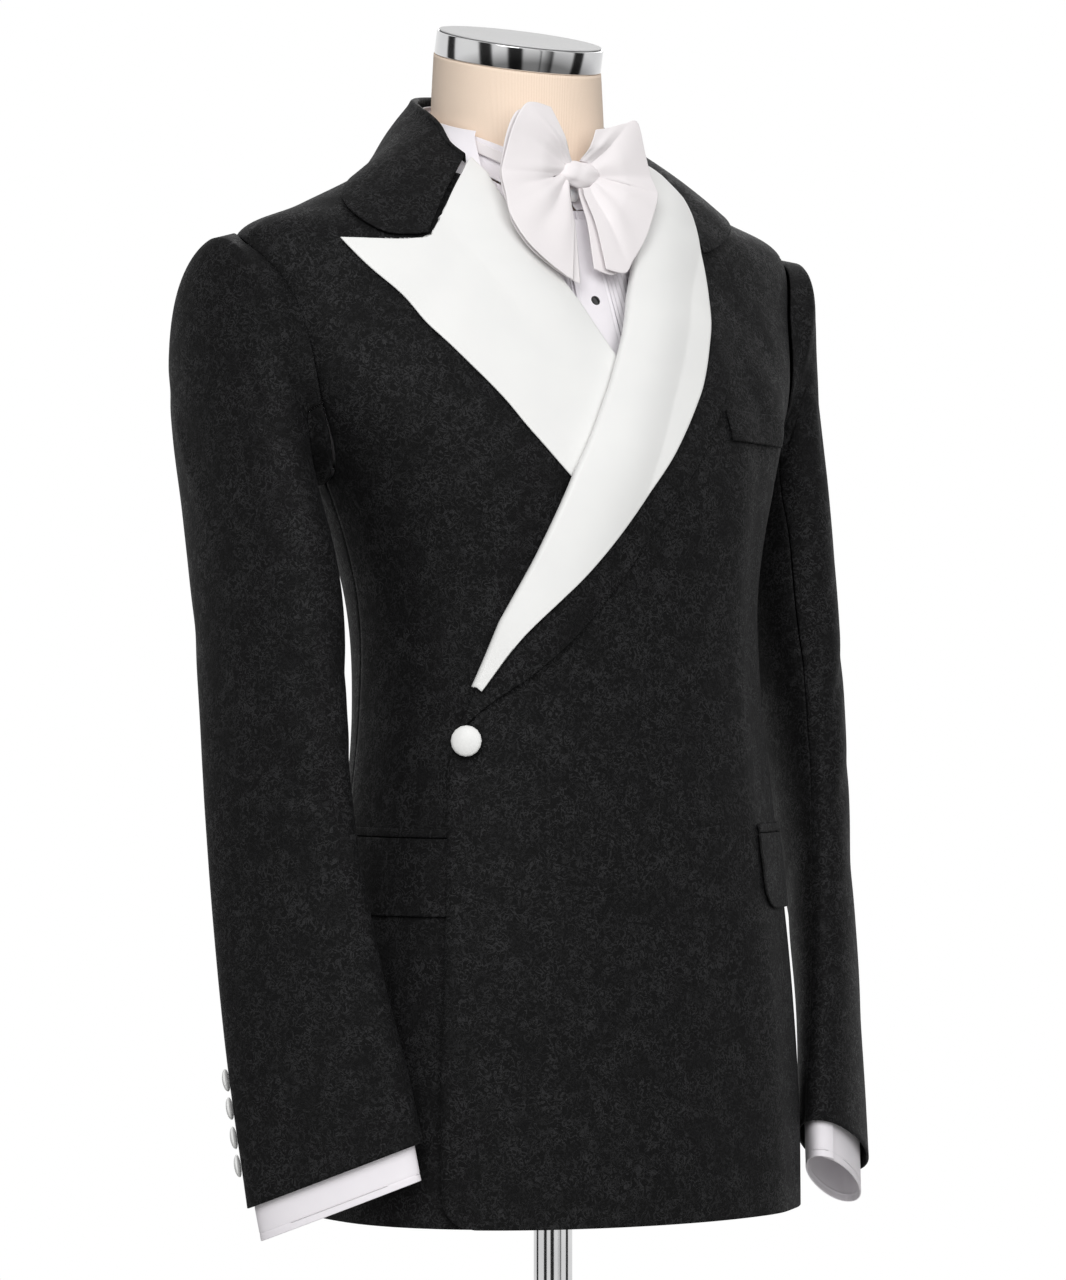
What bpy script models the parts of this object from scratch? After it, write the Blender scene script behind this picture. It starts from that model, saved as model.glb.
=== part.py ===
"""A double-breasted tuxedo jacket with a dress shirt and a bow tie, on a limbless dress form.

Metres, +Z up. The wearer's front faces -Y and the wearer's left is +X. The origin is the
middle of the underside of the stand's base. Run it with: blender --background --python part.py
"""

import math
from collections import namedtuple

import bpy
from mathutils import Matrix, Vector

MM = 0.001

# Driving sizes of the stand and the form
BASE_RADIUS = 0.180
BASE_HEIGHT = 0.012
POLE_RADIUS = 0.0135
FORM_BOTTOM = 0.760
FORM_DEPTH = -14 * MM
NECK_CENTRE_Y = 0.046
NECK_RADIUS = 0.0592
NECK_TOP = 1.4875
BAND_DEPTH = 0.0165
PLATE_RADIUS = 0.0577
PLATE_DEPTH = 0.0010
CAP_SLOPE = math.radians(13)

# Driving sizes of the garment
HEM_HEIGHT = 0.683
WAIST_BUTTON_HEIGHT = 1.0105
WAIST_BUTTON_AROUND = -59.0
ARMHOLE_BOTTOM = 1.190
SHOULDER_TIP = 1.357
ARMHOLE_MIDDLE = 96.0
ARMHOLE_HALF_ANGLE = 15.0
SIDE_SEAM_AT_HEM = 112.0
CORNER_RADIUS = 0.020
CORNER_TURN = 7.0
SEAM_GAP = 0.3 * MM
LAYER_GAP = 1.2 * MM
PANEL_WALL = 1.6 * MM
FACING_WALL = 1.4 * MM
SHIRT_WALL = 1.2 * MM
SILK_WALL = 1.0 * MM
SHIRT_DEPTH = -9 * MM
LEAF_DEPTH = -6.9 * MM
ROLL_PUFF = 4 * MM
ROLL_PUFF_SPAN = 26.0

# What lies on what: the first layer on a front, the second on that, and the left front,
# which passes over the right front and its lapel.
FIRST_LAYER = PANEL_WALL + LAYER_GAP
SECOND_LAYER = FIRST_LAYER + FACING_WALL + LAYER_GAP
SHAWL_LAYER = SECOND_LAYER + 0.8 * MM
LEFT_OVER = FIRST_LAYER
LEFT_OVER_LAPEL = 3.8 * MM

# One row for each girth of the body, from the hem to the neck. Sizes are taken from the
# centre: half the width, the depth to the front and to the back, where the centre lies,
# how far the line rises at the middle of the front and of the back, and how square it is.
Girth = namedtuple(
    "Girth", "height half_width front back centre front_rise back_rise front_square back_square"
)
GIRTHS = (
    Girth(HEM_HEIGHT, 0.1755, 0.137, 0.136, -0.001, 0.000, 0.000, 2.2, 2.2),
    Girth(0.760, 0.1740, 0.134, 0.135, -0.002, 0.000, 0.000, 2.2, 2.2),
    Girth(0.850, 0.1670, 0.126, 0.127, -0.005, 0.000, 0.000, 2.2, 2.2),
    Girth(0.940, 0.1565, 0.115, 0.119, -0.008, 0.000, 0.000, 2.2, 2.2),
    Girth(1.030, 0.1475, 0.108, 0.114, -0.006, 0.000, 0.000, 2.2, 2.2),
    Girth(1.110, 0.1475, 0.112, 0.118, 0.002, 0.000, 0.000, 2.2, 2.2),
    Girth(ARMHOLE_BOTTOM, 0.1680, 0.117, 0.127, 0.011, 0.000, 0.002, 2.2, 2.3),
    Girth(1.250, 0.199, 0.110, 0.123, 0.022, -0.004, 0.006, 2.1, 2.3),
    Girth(1.305, 0.216, 0.104, 0.114, 0.034, -0.016, 0.012, 1.8, 2.2),
    Girth(SHOULDER_TIP, 0.221, 0.097, 0.104, 0.042, -0.030, 0.018, 1.5, 2.1),
    Girth(1.381, 0.170, 0.090, 0.092, 0.045, -0.031, 0.022, 1.6, 2.0),
    Girth(1.406, 0.1145, 0.086, 0.084, 0.046, -0.038, 0.020, 1.8, 2.0),
    Girth(1.427, 0.085, 0.082, 0.078, 0.046, -0.046, 0.016, 2.0, 2.0),
)
ARMPIT_LINE = 6
NECK_LINE = len(GIRTHS) - 1

# The left sleeve, a row for each ring: its outer and under points, its middle from front to
# back, half its depth, how far its front turns inwards and how much its front rises.
Ring = namedtuple("Ring", "outer_x outer_z under_x under_z middle_y half_depth turn front_lift")
SLEEVE = (
    Ring(0.2230, 1.3590, 0.1800, 1.1860, 0.045, 0.056, 0, 0.00),
    Ring(0.2430, 1.3540, 0.1800, 1.1820, 0.053, 0.0585, 2, 0.00),
    Ring(0.2505, 1.3350, 0.1800, 1.1740, 0.062, 0.0650, 4, 0.01),
    Ring(0.2525, 1.3000, 0.1800, 1.1640, 0.063, 0.0680, 6, 0.04),
    Ring(0.2525, 1.2500, 0.1805, 1.1480, 0.057, 0.0670, 7, 0.09),
    Ring(0.2505, 1.1950, 0.1820, 1.1200, 0.046, 0.0670, 7, 0.13),
    Ring(0.2495, 1.1300, 0.1870, 1.0750, 0.030, 0.0630, 12, 0.17),
    Ring(0.2485, 1.0600, 0.1940, 1.0200, 0.0145, 0.0600, 18, 0.20),
    Ring(0.2476, 0.9850, 0.1985, 0.9550, 0.001, 0.0575, 25, 0.23),
    Ring(0.2447, 0.9050, 0.1975, 0.8850, -0.0125, 0.0570, 32, 0.28),
    Ring(0.2395, 0.8200, 0.1935, 0.8080, -0.0300, 0.0585, 40, 0.33),
    Ring(0.2300, 0.7195, 0.1840, 0.7195, -0.0486, 0.0605, 47, 0.39),
)
SLEEVE_END = len(SLEEVE) - 1
FRONT_SEAM, BACK_SEAM = 112.0, 258.0
SEAM_TURN = 0.25
CREASE_TURN = 1.6
CUFF_SHOWS = 0.024
CUFF_LENGTH = 0.054
CUFF_INSIDE = 0.006
CUFF_OVERLAP = 0.0026

# Where each front ends, from the hem up: its edge to the button and its roll line above.
# "around" is in degrees from the middle of the front, positive on the front's own side.
Edge = namedtuple("Edge", "height around")
FRONT_EDGE = (
    Edge(HEM_HEIGHT, -59),
    Edge(0.760, -60),
    Edge(0.850, -61),
    Edge(0.940, -63),
    Edge(0.990, -64),
    Edge(1.015, -62),
    Edge(1.0434, -57),
    Edge(1.0913, -48),
    Edge(1.1353, -37),
    Edge(1.1920, -24),
    Edge(1.2400, -10),
    Edge(1.2752, 1),
    Edge(1.3126, 12),
    Edge(1.3455, 24),
    Edge(1.3785, 38),
    Edge(1.4016, 48),
    Edge(1.4200, 62),
)

# The outer edge of each layer of lapel, a row for each station of the roll line from the
# neck down. A lapel's first row is the tip of its peak.
Station = namedtuple("Station", "roll_height edge_around edge_height")
RIGHT_LAPEL = (
    Station(1.4120, 76, 1.3535),
    Station(1.4016, 70.5, 1.3330),
    Station(1.3785, 64, 1.3127),
    Station(1.3455, 59, 1.2930),
    Station(1.3126, 53, 1.2740),
    Station(1.2752, 43, 1.2440),
    Station(1.2400, 35, 1.2180),
    Station(1.1920, 20, 1.1780),
    Station(1.1353, -5, 1.1250),
)
LEFT_LAPEL = (
    Station(1.4120, 61, 1.3524),
    Station(1.4016, 60, 1.3350),
    Station(1.3785, 58, 1.3180),
    Station(1.3455, 53, 1.2960),
    Station(1.3126, 46, 1.2700),
    Station(1.2752, 36, 1.2360),
    Station(1.2400, 24, 1.2040),
    Station(1.1920, 5, 1.1600),
    Station(1.1353, -18, 1.1030),
    Station(1.0913, -38, 1.0620),
    Station(1.0434, -54, 1.0340),
    Station(1.0230, -61, 1.0170),
)
SHAWL = (
    Station(1.4120, 59, 1.3860),
    Station(1.4016, 56.5, 1.3690),
    Station(1.3785, 52.5, 1.3520),
    Station(1.3455, 48, 1.3230),
    Station(1.3126, 40, 1.2887),
    Station(1.2752, 28.5, 1.2467),
    Station(1.2400, 13, 1.2073),
    Station(1.1920, -2, 1.1747),
    Station(1.1353, -24, 1.1240),
    Station(1.0913, -43, 1.0819),
    Station(1.0470, -55, 1.0440),
)
Notch = namedtuple("Notch", "around height part")
RIGHT_NOTCH = Notch(60, 1.3520, 0.55)
LEFT_NOTCH = Notch(53, 1.3461, 0.75)
SHAWL_TOP = Notch(58, 1.3990, 0.50)

# A collar's fold, a row for each direction around the neck from the front to the middle of
# the back, and the outer edge, which lies on the cloth below it.
Fold = namedtuple("Fold", "around radius height edge_around edge_height")
COLLAR_RIGHT = (
    Fold(57.5, 0.0888, 1.4160, 60.8, 1.3570),
    Fold(67, 0.0850, 1.4255, 69.5, 1.3575),
    Fold(77, 0.0780, 1.4380, 83, 1.3830),
    Fold(90, 0.0755, 1.4480, 97, 1.4050),
    Fold(115, 0.0740, 1.4580, 120, 1.4160),
    Fold(145, 0.0745, 1.4645, 148, 1.4180),
    Fold(180, 0.0755, 1.4680, 180, 1.4180),
)
COLLAR_LEFT = (
    Fold(57.5, 0.0888, 1.4160, 54.5, 1.3505),
    Fold(67, 0.0850, 1.4235, 62, 1.3570),
    Fold(77, 0.0790, 1.4350, 83, 1.3830),
    Fold(90, 0.0755, 1.4430, 97, 1.4040),
    *COLLAR_RIGHT[4:],
)
COLLAR_BULGE = 3.0 * MM
LEAF = (
    Fold(57, 0.0695, 1.4337, 43, 1.3880),
    Fold(69, 0.0685, 1.4365, 60, 1.4020),
    Fold(90, 0.0674, 1.4430, 89, 1.4225),
    Fold(115, 0.0670, 1.4525, 115, 1.4260),
    Fold(145, 0.0668, 1.4590, 145, 1.4320),
    Fold(180, 0.0666, 1.4620, 180, 1.4360),
)
LEAF_BULGE = 0.7 * MM

# The stand of the shirt's collar by direction, and the middle of the tie's band on it
Stand = namedtuple("Stand", "around top_height top_radius band_height")
STAND = (
    Stand(1, 1.4080, 0.0645, 1.4005),
    Stand(30, 1.4180, 0.0648, 1.4085),
    Stand(60, 1.4310, 0.0650, 1.4245),
    Stand(90, 1.4400, 0.0650, 1.4345),
    Stand(115, 1.4495, 0.0648, 1.4410),
    Stand(145, 1.4560, 0.0646, 1.4480),
    Stand(180, 1.4585, 0.0645, 1.4525),
)
STAND_KNEE = 6 * MM
STAND_LEAN = 2.5 * MM
BAND_HALF_HEIGHT = 0.0040

# The folds of each wing of the bow tie, from the top down: the angle at which a fold leaves
# the knot, and how far across and up from the knot's middle it ends
WingFold = namedtuple("WingFold", "leaves across up")
WING_RIGHT = (
    WingFold(55, 0.0273, 0.0452),
    WingFold(46, 0.0413, 0.0480),
    WingFold(37, 0.0496, 0.0452),
    WingFold(28, 0.0579, 0.0313),
    WingFold(18, 0.0645, 0.0104),
    WingFold(8, 0.0677, -0.0035),
    WingFold(0, 0.0678, -0.0174),
    WingFold(-7, 0.0679, -0.0313),
    WingFold(-14, 0.0597, -0.0487),
    WingFold(-20, 0.0463, -0.0626),
    WingFold(-25, 0.0322, -0.0730),
    WingFold(-28, 0.0264, -0.0758),
)
WING_LEFT = (
    WingFold(83, 0.0100, 0.0313),
    WingFold(70, 0.0224, 0.0334),
    WingFold(48, 0.0349, 0.0368),
    WingFold(33, 0.0457, 0.0382),
    WingFold(17, 0.0515, 0.0174),
    WingFold(4, 0.0584, -0.0070),
    WingFold(-6, 0.0587, -0.0139),
    WingFold(-17, 0.0514, -0.0278),
    WingFold(-30, 0.0407, -0.0452),
    WingFold(-45, 0.0270, -0.0605),
    WingFold(-65, 0.0182, -0.0695),
    WingFold(-93, 0.0024, -0.0674),
)
KNOT = Vector((0.000, -0.0330, 1.4035))
KNOT_HALF = Vector((0.0125, 0.0050, 0.0095))
WING_FRONT = -0.038
WING_FOLD = 0.0015
WING_TURN = -6.0
CHEST_LEAN = 0.37

# The pockets, by direction and height
POCKET_FROM, POCKET_TO = 44.0, 100.0
JET_TOP, FLAP_TOP, FLAP_BOTTOM = 0.9515, 0.9450, 0.8925
JET_HEIGHT = 0.0055
FLAP_CORNER = 0.018
WELT_FROM, WELT_TO = 38.0, 64.0
WELT_TOP, WELT_BOTTOM = 1.2370, 1.2160

# Buttons: half the width, the height, and how far the shank stands out behind
Button = namedtuple("Button", "radius height shank steps")
WAIST_BUTTON = Button(0.0105, 0.0058, 2.2 * MM, 16)
CUFF_BUTTON = Button(0.0076, 0.0040, 0, 12)
PEARL_BUTTON = Button(0.0050, 0.0022, 1.6 * MM, 12)
STUD = Button(0.0042, 0.0026, 0, 12)
CUFF_BUTTON_RINGS = (10.13, 10.30, 10.47, 10.64)
CUFF_BUTTON_TURN = -88.0
PEARL_HEIGHT, STUD_HEIGHT = 1.3900, 1.3170


def smooth(values, row):
    """A curve through values one row apart, read at this row."""
    last = len(values) - 1
    low = max(0, min(int(row), last - 1))
    part = row - low
    before, start = values[max(low - 1, 0)], values[low]
    end, after = values[low + 1], values[min(low + 2, last)]
    bend = 2 * before - 5 * start + 4 * end - after
    twist = 3 * (start - end) + after - before
    return start + 0.5 * part * (end - before + part * (bend + part * twist))


def mixed(start, end, part):
    return start + (end - start) * part


def spread(start, end, count):
    return [mixed(start, end, index / count) for index in range(count + 1)]


def eased(value):
    """0 below 0, 1 above 1 and a soft step between."""
    value = max(0.0, min(1.0, value))
    return value * value * (3 - 2 * value)


def column_of(table, name):
    return [getattr(row, name) for row in table]


def read(table, key, value, name):
    """A column of a table where its rising key column has this value."""
    keys, values = column_of(table, key), column_of(table, name)
    value = max(keys[0], min(value, keys[-1]))
    low = max(index for index in range(len(keys) - 1) if keys[index] <= value)
    return mixed(values[low], values[low + 1], (value - keys[low]) / (keys[low + 1] - keys[low]))


def body_point(around, line):
    """A point of the jacket's inner face. around is in degrees and line counts the girths."""
    row = Girth(*(smooth(column, line) for column in zip(*GIRTHS)))
    across, ahead = math.sin(math.radians(around)), math.cos(math.radians(around))
    depth = row.front if ahead > 0 else row.back
    rise = row.front_rise if ahead > 0 else row.back_rise
    power = row.front_square if ahead > 0 else row.back_square
    radius = (abs(across / row.half_width) ** power + abs(ahead / depth) ** power) ** (-1 / power)
    height = row.height + rise * ahead * ahead
    return Vector((radius * across, row.centre - radius * ahead, height))


def body_normal(around, line):
    step = 0.02
    low, high = max(line - step, 0), min(line + step, NECK_LINE)
    along = body_point(around, high) - body_point(around, low)
    sideways = body_point(around + 1, line) - body_point(around - 1, line)
    return sideways.cross(along).normalized()


def on_body(around, line, lift):
    return body_point(around, line) + body_normal(around, line) * lift


def line_at(around, height):
    """The line whose point in this direction has this height."""
    low, high = 0.0, float(NECK_LINE)
    for _ in range(24):
        middle = (low + high) / 2
        if body_point(around, middle).z < height:
            low = middle
        else:
            high = middle
    return (low + high) / 2


def at_height(around, height, lift):
    return on_body(around, line_at(around, height), lift)


def edge_around(height):
    return read(FRONT_EDGE, "height", height, "around")


def edge_on_line(line, side):
    """Where a front ends on this line, in degrees on the front's own side."""
    height = smooth(column_of(GIRTHS, "height"), line)
    for _ in range(12):
        height = mixed(height, body_point(edge_around(height) * side, line).z, 0.6)
    corner = max(0.0, 1 - (height - HEM_HEIGHT) / CORNER_RADIUS)
    return edge_around(height) + CORNER_TURN * (1 - math.sqrt(1 - corner * corner))


def armhole_reach(line):
    """Half the armhole's opening on this line, in degrees."""
    height = smooth(column_of(GIRTHS, "height"), line)
    part = (height - ARMHOLE_BOTTOM) / (SHOULDER_TIP - ARMHOLE_BOTTOM)
    if not 0 < part < 1:
        return 0.0
    return ARMHOLE_HALF_ANGLE * (4 * part * (1 - part)) ** 0.45


def seam_around(line):
    return mixed(SIDE_SEAM_AT_HEM, ARMHOLE_MIDDLE, eased(line / ARMPIT_LINE))


def seam_gap(line):
    """Half the gap at a seam, in degrees."""
    return math.degrees(SEAM_GAP / 2 / smooth(column_of(GIRTHS, "half_width"), line))


def left_over(around, height):
    """How far the left front stands out, where it lies over the right one."""
    over_front = LEFT_OVER * (1 - eased((around - 66) / 12))
    over_lapel = LEFT_OVER_LAPEL * (1 - eased((around - 40) / 14))
    return (over_front + over_lapel) * (1 - eased((height - 1.285) / 0.05))


def roll_puff(own_around, height, lowest):
    """How far a lapel stands out along its soft roll, fading out at the lowest height."""
    inside = max(0.0, min(1.0, (own_around - edge_around(height)) / ROLL_PUFF_SPAN))
    return ROLL_PUFF * math.sin(math.pi * inside) * eased((height - lowest) / 0.05)


# The scene and the finishes ---------------------------------------------------------------
for old in list(bpy.data.objects):
    bpy.data.objects.remove(old)
tuxedo = bpy.data.collections.new("Tuxedo")
bpy.context.scene.collection.children.link(tuxedo)

# Each finish: its name, its linear colour, its roughness and how metallic it is
JACQUARD = ("black_jacquard", (0.010, 0.010, 0.011), 0.75, 0.0)
SATIN = ("white_satin", (0.85, 0.85, 0.84), 0.35, 0.0)
SHIRTING = ("white_shirting", (0.82, 0.81, 0.88), 0.80, 0.0)
BOW_SILK = ("white_bow_silk", (0.86, 0.83, 0.85), 0.50, 0.0)
JERSEY = ("beige_jersey", (0.80, 0.67, 0.55), 0.90, 0.0)
CHROME = ("polished_chrome", (0.80, 0.80, 0.80), 0.10, 1.0)
PLATE = ("grey_plate", (0.66, 0.66, 0.66), 0.40, 0.0)
PEARL = ("pearl", (0.90, 0.88, 0.86), 0.20, 0.0)
ONYX = ("onyx", (0.010, 0.010, 0.010), 0.10, 0.0)


def finish(name, look):
    made = bpy.data.materials.new(name + "." + look[0])
    made.use_nodes = True
    shader = made.node_tree.nodes["Principled BSDF"]
    shader.inputs["Base Color"].default_value = (*look[1], 1)
    shader.inputs["Roughness"].default_value = look[2]
    shader.inputs["Metallic"].default_value = look[3]
    made.diffuse_color = (*look[1], 1)
    return made


def add_mesh(name, points, edges, faces, look):
    mesh = bpy.data.meshes.new(name)
    mesh.from_pydata([tuple(point) for point in points], edges, faces)
    mesh.update()
    made = bpy.data.objects.new(name, mesh)
    made.data.materials.append(finish(name, look))
    tuxedo.objects.link(made)
    return made


def cloth(name, rows, wall, look, flip=False):
    """A wall of cloth on rows of points. Its faces turn outwards when the rows run to the
    wearer's left and follow each other upwards, or when flip turns them."""
    wide = len(rows[0])
    points = [point for row in rows for point in row]
    faces = []
    for low in range(len(rows) - 1):
        for left in range(wide - 1):
            corner = low * wide + left
            face = (corner, corner + 1, corner + wide + 1, corner + wide)
            faces.append(face[::-1] if flip else face)
    made = add_mesh(name, points, [], faces, look)
    thick = made.modifiers.new("Wall", "SOLIDIFY")
    thick.thickness = wall
    thick.offset = 1
    return made


def loft(name, rings, look):
    """A closed solid through rings of as many points, anticlockwise seen from the last."""
    count = len(rings[0])
    points = [point for ring in rings for point in ring]
    faces = [tuple(range(count))[::-1]]
    for start in range(0, (len(rings) - 1) * count, count):
        for left in range(count):
            right = (left + 1) % count
            faces.append((start + left, start + right, start + count + right, start + count + left))
    top = (len(rings) - 1) * count
    faces.append(tuple(range(top, top + count)))
    return add_mesh(name, points, [], faces, look)


def turned(name, profile, steps, look, place=Matrix()):
    """A solid turned about its Z from a profile of (radius, height) that runs up its outside."""
    points = [(radius, 0, height) for radius, height in profile]
    edges = [(index, index + 1) for index in range(len(points) - 1)]
    made = add_mesh(name, points, edges, [], look)
    spin = made.modifiers.new("Turn", "SCREW")
    spin.steps = spin.render_steps = steps
    spin.use_merge_vertices = True
    spin.merge_threshold = 0.00005
    spin.use_normal_flip = True
    made.matrix_world = place
    return made


def standing(point, normal):
    """A place at this point whose Z is this normal."""
    return Matrix.Translation(point) @ normal.to_track_quat("Z", "Y").to_matrix().to_4x4()


def button(name, size, look, point, normal):
    shank = ((0, -size.shank), (0.4 * size.radius, -size.shank), (0.4 * size.radius, 0))
    profile = (
        *(shank if size.shank else ((0, 0),)),
        (0.8 * size.radius, 0),
        (size.radius, 0.35 * size.height),
        (0.80 * size.radius, 0.78 * size.height),
        (0, size.height),
    )
    turned(name, profile, size.steps, look, standing(point, normal))


# The fronts and the back -----------------------------------------------------------------
FRONT_COLUMNS, BACK_COLUMNS = 18, 8
SHOULDER_LINES = (8, 8.4, 8.75, 9, 9.4, 9.8, 10.4, 11)
UPPER_LINES = (*spread(0.8, 8, 12)[:-1], *SHOULDER_LINES, 11.3)
FRONT_LINES = (0, 0.05, 0.14, 0.3, *UPPER_LINES)
BACK_LINES = (0, *UPPER_LINES)
for name, side in (("left", 1), ("right", -1)):
    front, back = [], []
    for line in FRONT_LINES:
        outer = seam_around(line) - armhole_reach(line) - seam_gap(line)
        row = []
        for around in spread(edge_on_line(line, side), outer, FRONT_COLUMNS):
            height = body_point(around * side, line).z
            lift = left_over(around, height) if side > 0 else 0
            row.append(on_body(around * side, line, lift))
        front.append(row)
    for line in BACK_LINES:
        inner = seam_around(line) + armhole_reach(line) + seam_gap(line)
        arounds = spread(inner, 180 - seam_gap(line), BACK_COLUMNS)
        back.append([on_body(around * side, line, 0) for around in arounds])
    cloth("jacket_front_" + name, front, PANEL_WALL, JACQUARD, side < 0)
    cloth("jacket_back_" + name, back, PANEL_WALL, JACQUARD, side < 0)


# The lapels -------------------------------------------------------------------------------
def lapel_rows(table, notch, side, layer, puff_lowest):
    """Rows of a lapel from its roll line to its outer edge, moved out from the front."""
    bend_around = notch.around - mixed(edge_around(table[0].roll_height), table[0].edge_around, notch.part)
    bend_height = notch.height - mixed(table[0].roll_height, table[0].edge_height, notch.part)
    rows = []
    for station in spread(0, len(table) - 1, LAPEL_ROWS):
        roll = smooth(column_of(table, "roll_height"), station)
        outer_around = smooth(column_of(table, "edge_around"), station)
        outer_height = smooth(column_of(table, "edge_height"), station)
        fade = max(0.0, 1 - station / 2) ** 1.5
        row = []
        for part in (0, 0.14, 0.32, notch.part, 0.5 + 0.5 * notch.part, 1):
            tent = min(part / notch.part, (1 - part) / (1 - notch.part))
            own = mixed(edge_around(roll), outer_around, part) + fade * tent * bend_around
            height = mixed(roll, outer_height, part) + fade * tent * bend_height
            over = left_over(own, height) if side > 0 else 0
            lift = layer + over + roll_puff(own, height, puff_lowest)
            row.append(at_height(own * side, height, lift))
        rows.append(row)
    return rows


LAPEL_ROWS = 18
RIGHT_PUFF_LOWEST, LEFT_PUFF_LOWEST = 1.270, 1.030
right_lapel = lapel_rows(RIGHT_LAPEL, RIGHT_NOTCH, -1, FIRST_LAYER, RIGHT_PUFF_LOWEST)
left_lapel = lapel_rows(LEFT_LAPEL, LEFT_NOTCH, 1, FIRST_LAYER, LEFT_PUFF_LOWEST)
shawl = lapel_rows(SHAWL, SHAWL_TOP, 1, SHAWL_LAYER, LEFT_PUFF_LOWEST)
cloth("lapel_right_white", right_lapel, FACING_WALL, SATIN)
cloth("lapel_left_black", left_lapel, FACING_WALL, JACQUARD, True)
cloth("shawl_left_white", shawl, FACING_WALL, SATIN, True)


# The sleeves and their cuffs --------------------------------------------------------------
def sleeve_point(ring, turn, inwards=0.0):
    """A point of the left sleeve. ring counts the rows of SLEEVE and turn is in degrees:
    0 is the outer side, 90 the front, 180 the under side and 270 the back."""
    row = Ring(*(smooth(column, ring) for column in zip(*SLEEVE)))
    half_x = (row.outer_x - row.under_x) / 2 - inwards
    half_z = (row.outer_z - row.under_z) / 2
    depth = row.half_depth - inwards
    spin, angle = math.radians(row.turn), math.radians(turn)
    outwards = Vector((half_x * math.cos(spin), -half_x * math.sin(spin), half_z))
    forwards = Vector((-depth * math.sin(spin), -depth * math.cos(spin), depth * row.front_lift))
    middle = Vector(((row.outer_x + row.under_x) / 2, row.middle_y, (row.outer_z + row.under_z) / 2))
    return middle + outwards * math.cos(angle) + forwards * math.sin(angle)


def armhole_point(turn):
    """The left sleeve's first ring, which stands on the body round the armhole."""
    angle = math.radians(turn)
    height = mixed(ARMHOLE_BOTTOM, SHOULDER_TIP, 0.5 + 0.5 * math.cos(angle))
    around = ARMHOLE_MIDDLE - (ARMHOLE_HALF_ANGLE + 0.6) * math.sin(angle)
    return at_height(around, height, PANEL_WALL + 1.5 * LAYER_GAP)


def sleeve_normal(ring, turn):
    along = sleeve_point(ring + 0.05, turn) - sleeve_point(ring - 0.05, turn)
    sideways = sleeve_point(ring, turn + 1) - sleeve_point(ring, turn - 1)
    return sideways.cross(along).normalized()


def to_side(point, side):
    return Vector((point.x * side, point.y, point.z))


SLEEVE_RINGS = (1, 1.5, 2, 2.6, 3.3, 4, 4.6, 5.2, 5.8, 6.5, 7.2, 8, 8.8, 9.6, 10.4, SLEEVE_END)
SLEEVE_PIECES = (
    ("sleeve_top_", BACK_SEAM - 360, FRONT_SEAM, 13),
    ("sleeve_under_", FRONT_SEAM, BACK_SEAM, 8),
)
CUFF_TURNS = {"left": (60.0, 442.0), "right": (262.0, 644.0)}
CUFF_COLUMNS = 20
for name, side in (("left", 1), ("right", -1)):
    for piece, first_turn, last_turn, columns in SLEEVE_PIECES:
        turns = spread(first_turn + CREASE_TURN, last_turn - CREASE_TURN, columns)
        rows = [[to_side(armhole_point(turn), side) for turn in turns]]
        for ring in SLEEVE_RINGS:
            gap = mixed(CREASE_TURN, SEAM_TURN, eased(ring / 2 - 0.5))
            turns = spread(first_turn + gap, last_turn - gap, columns)
            rows.append([to_side(sleeve_point(ring, turn, PANEL_WALL), side) for turn in turns])
        cloth(piece + name, rows, PANEL_WALL, JACQUARD, side < 0)

    down = sleeve_point(SLEEVE_END, 0) + sleeve_point(SLEEVE_END, 180)
    down = (down - sleeve_point(SLEEVE_END - 0.5, 0) - sleeve_point(SLEEVE_END - 0.5, 180)).normalized()
    cuff = []
    for beyond in (CUFF_SHOWS - CUFF_LENGTH, 0, CUFF_SHOWS):
        row = []
        for part in spread(0, 1, CUFF_COLUMNS):
            turn = mixed(*CUFF_TURNS[name], part)
            inwards = CUFF_INSIDE + CUFF_OVERLAP * part
            row.append(to_side(sleeve_point(SLEEVE_END, turn, inwards) + down * beyond, side))
        cuff.append(row)
    cloth("shirt_cuff_" + name, cuff, SHIRT_WALL, SHIRTING, side < 0)

    for number, ring in enumerate(CUFF_BUTTON_RINGS, 1):
        normal = sleeve_normal(ring, CUFF_BUTTON_TURN)
        place = sleeve_point(ring, CUFF_BUTTON_TURN) + normal * (2 * SEAM_GAP)
        label = "cuff_button_" + name + "_" + str(number)
        button(label, CUFF_BUTTON, SATIN, to_side(place, side), to_side(normal, side))


# The collar of the jacket and of the shirt ------------------------------------------------
def neck_point(around, radius, height):
    angle = math.radians(around)
    return Vector((radius * math.sin(angle), NECK_CENTRE_Y - radius * math.cos(angle), height))


def neck_radius(point):
    return math.hypot(point.x, point.y - NECK_CENTRE_Y)


def fold_section(row, lift, bulge, shoulder, foot):
    """A collar's section from its outer edge up to the fold, and down to the foot inside it."""
    edge = at_height(row.edge_around, row.edge_height, lift)
    from_around = math.degrees(math.atan2(edge.x, NECK_CENTRE_Y - edge.y))
    shoulder_height = row.height - 4 * MM
    section = []
    for part in (0, 0.25, 0.5, 0.75, 1):
        around = mixed(from_around, row.around, part)
        height = mixed(edge.z, shoulder_height, part)
        radius = mixed(neck_radius(edge), row.radius + shoulder, part) + bulge * math.sin(math.pi * part)
        if height < on_body(around, NECK_LINE, lift).z:
            radius = max(radius, neck_radius(at_height(around, height, lift)))
        section.append(neck_point(around, radius, height))
    section.append(neck_point(row.around, row.radius, row.height))
    if foot:
        section.append(neck_point(row.around, row.radius - shoulder / 2, shoulder_height))
        section.append(foot)
    return section


def halfway(table):
    """The rows of a table with another between each two."""
    count = len(table) - 1
    return [type(table[0])(*(smooth(c, at) for c in zip(*table))) for at in spread(0, count, 2 * count)]


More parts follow.
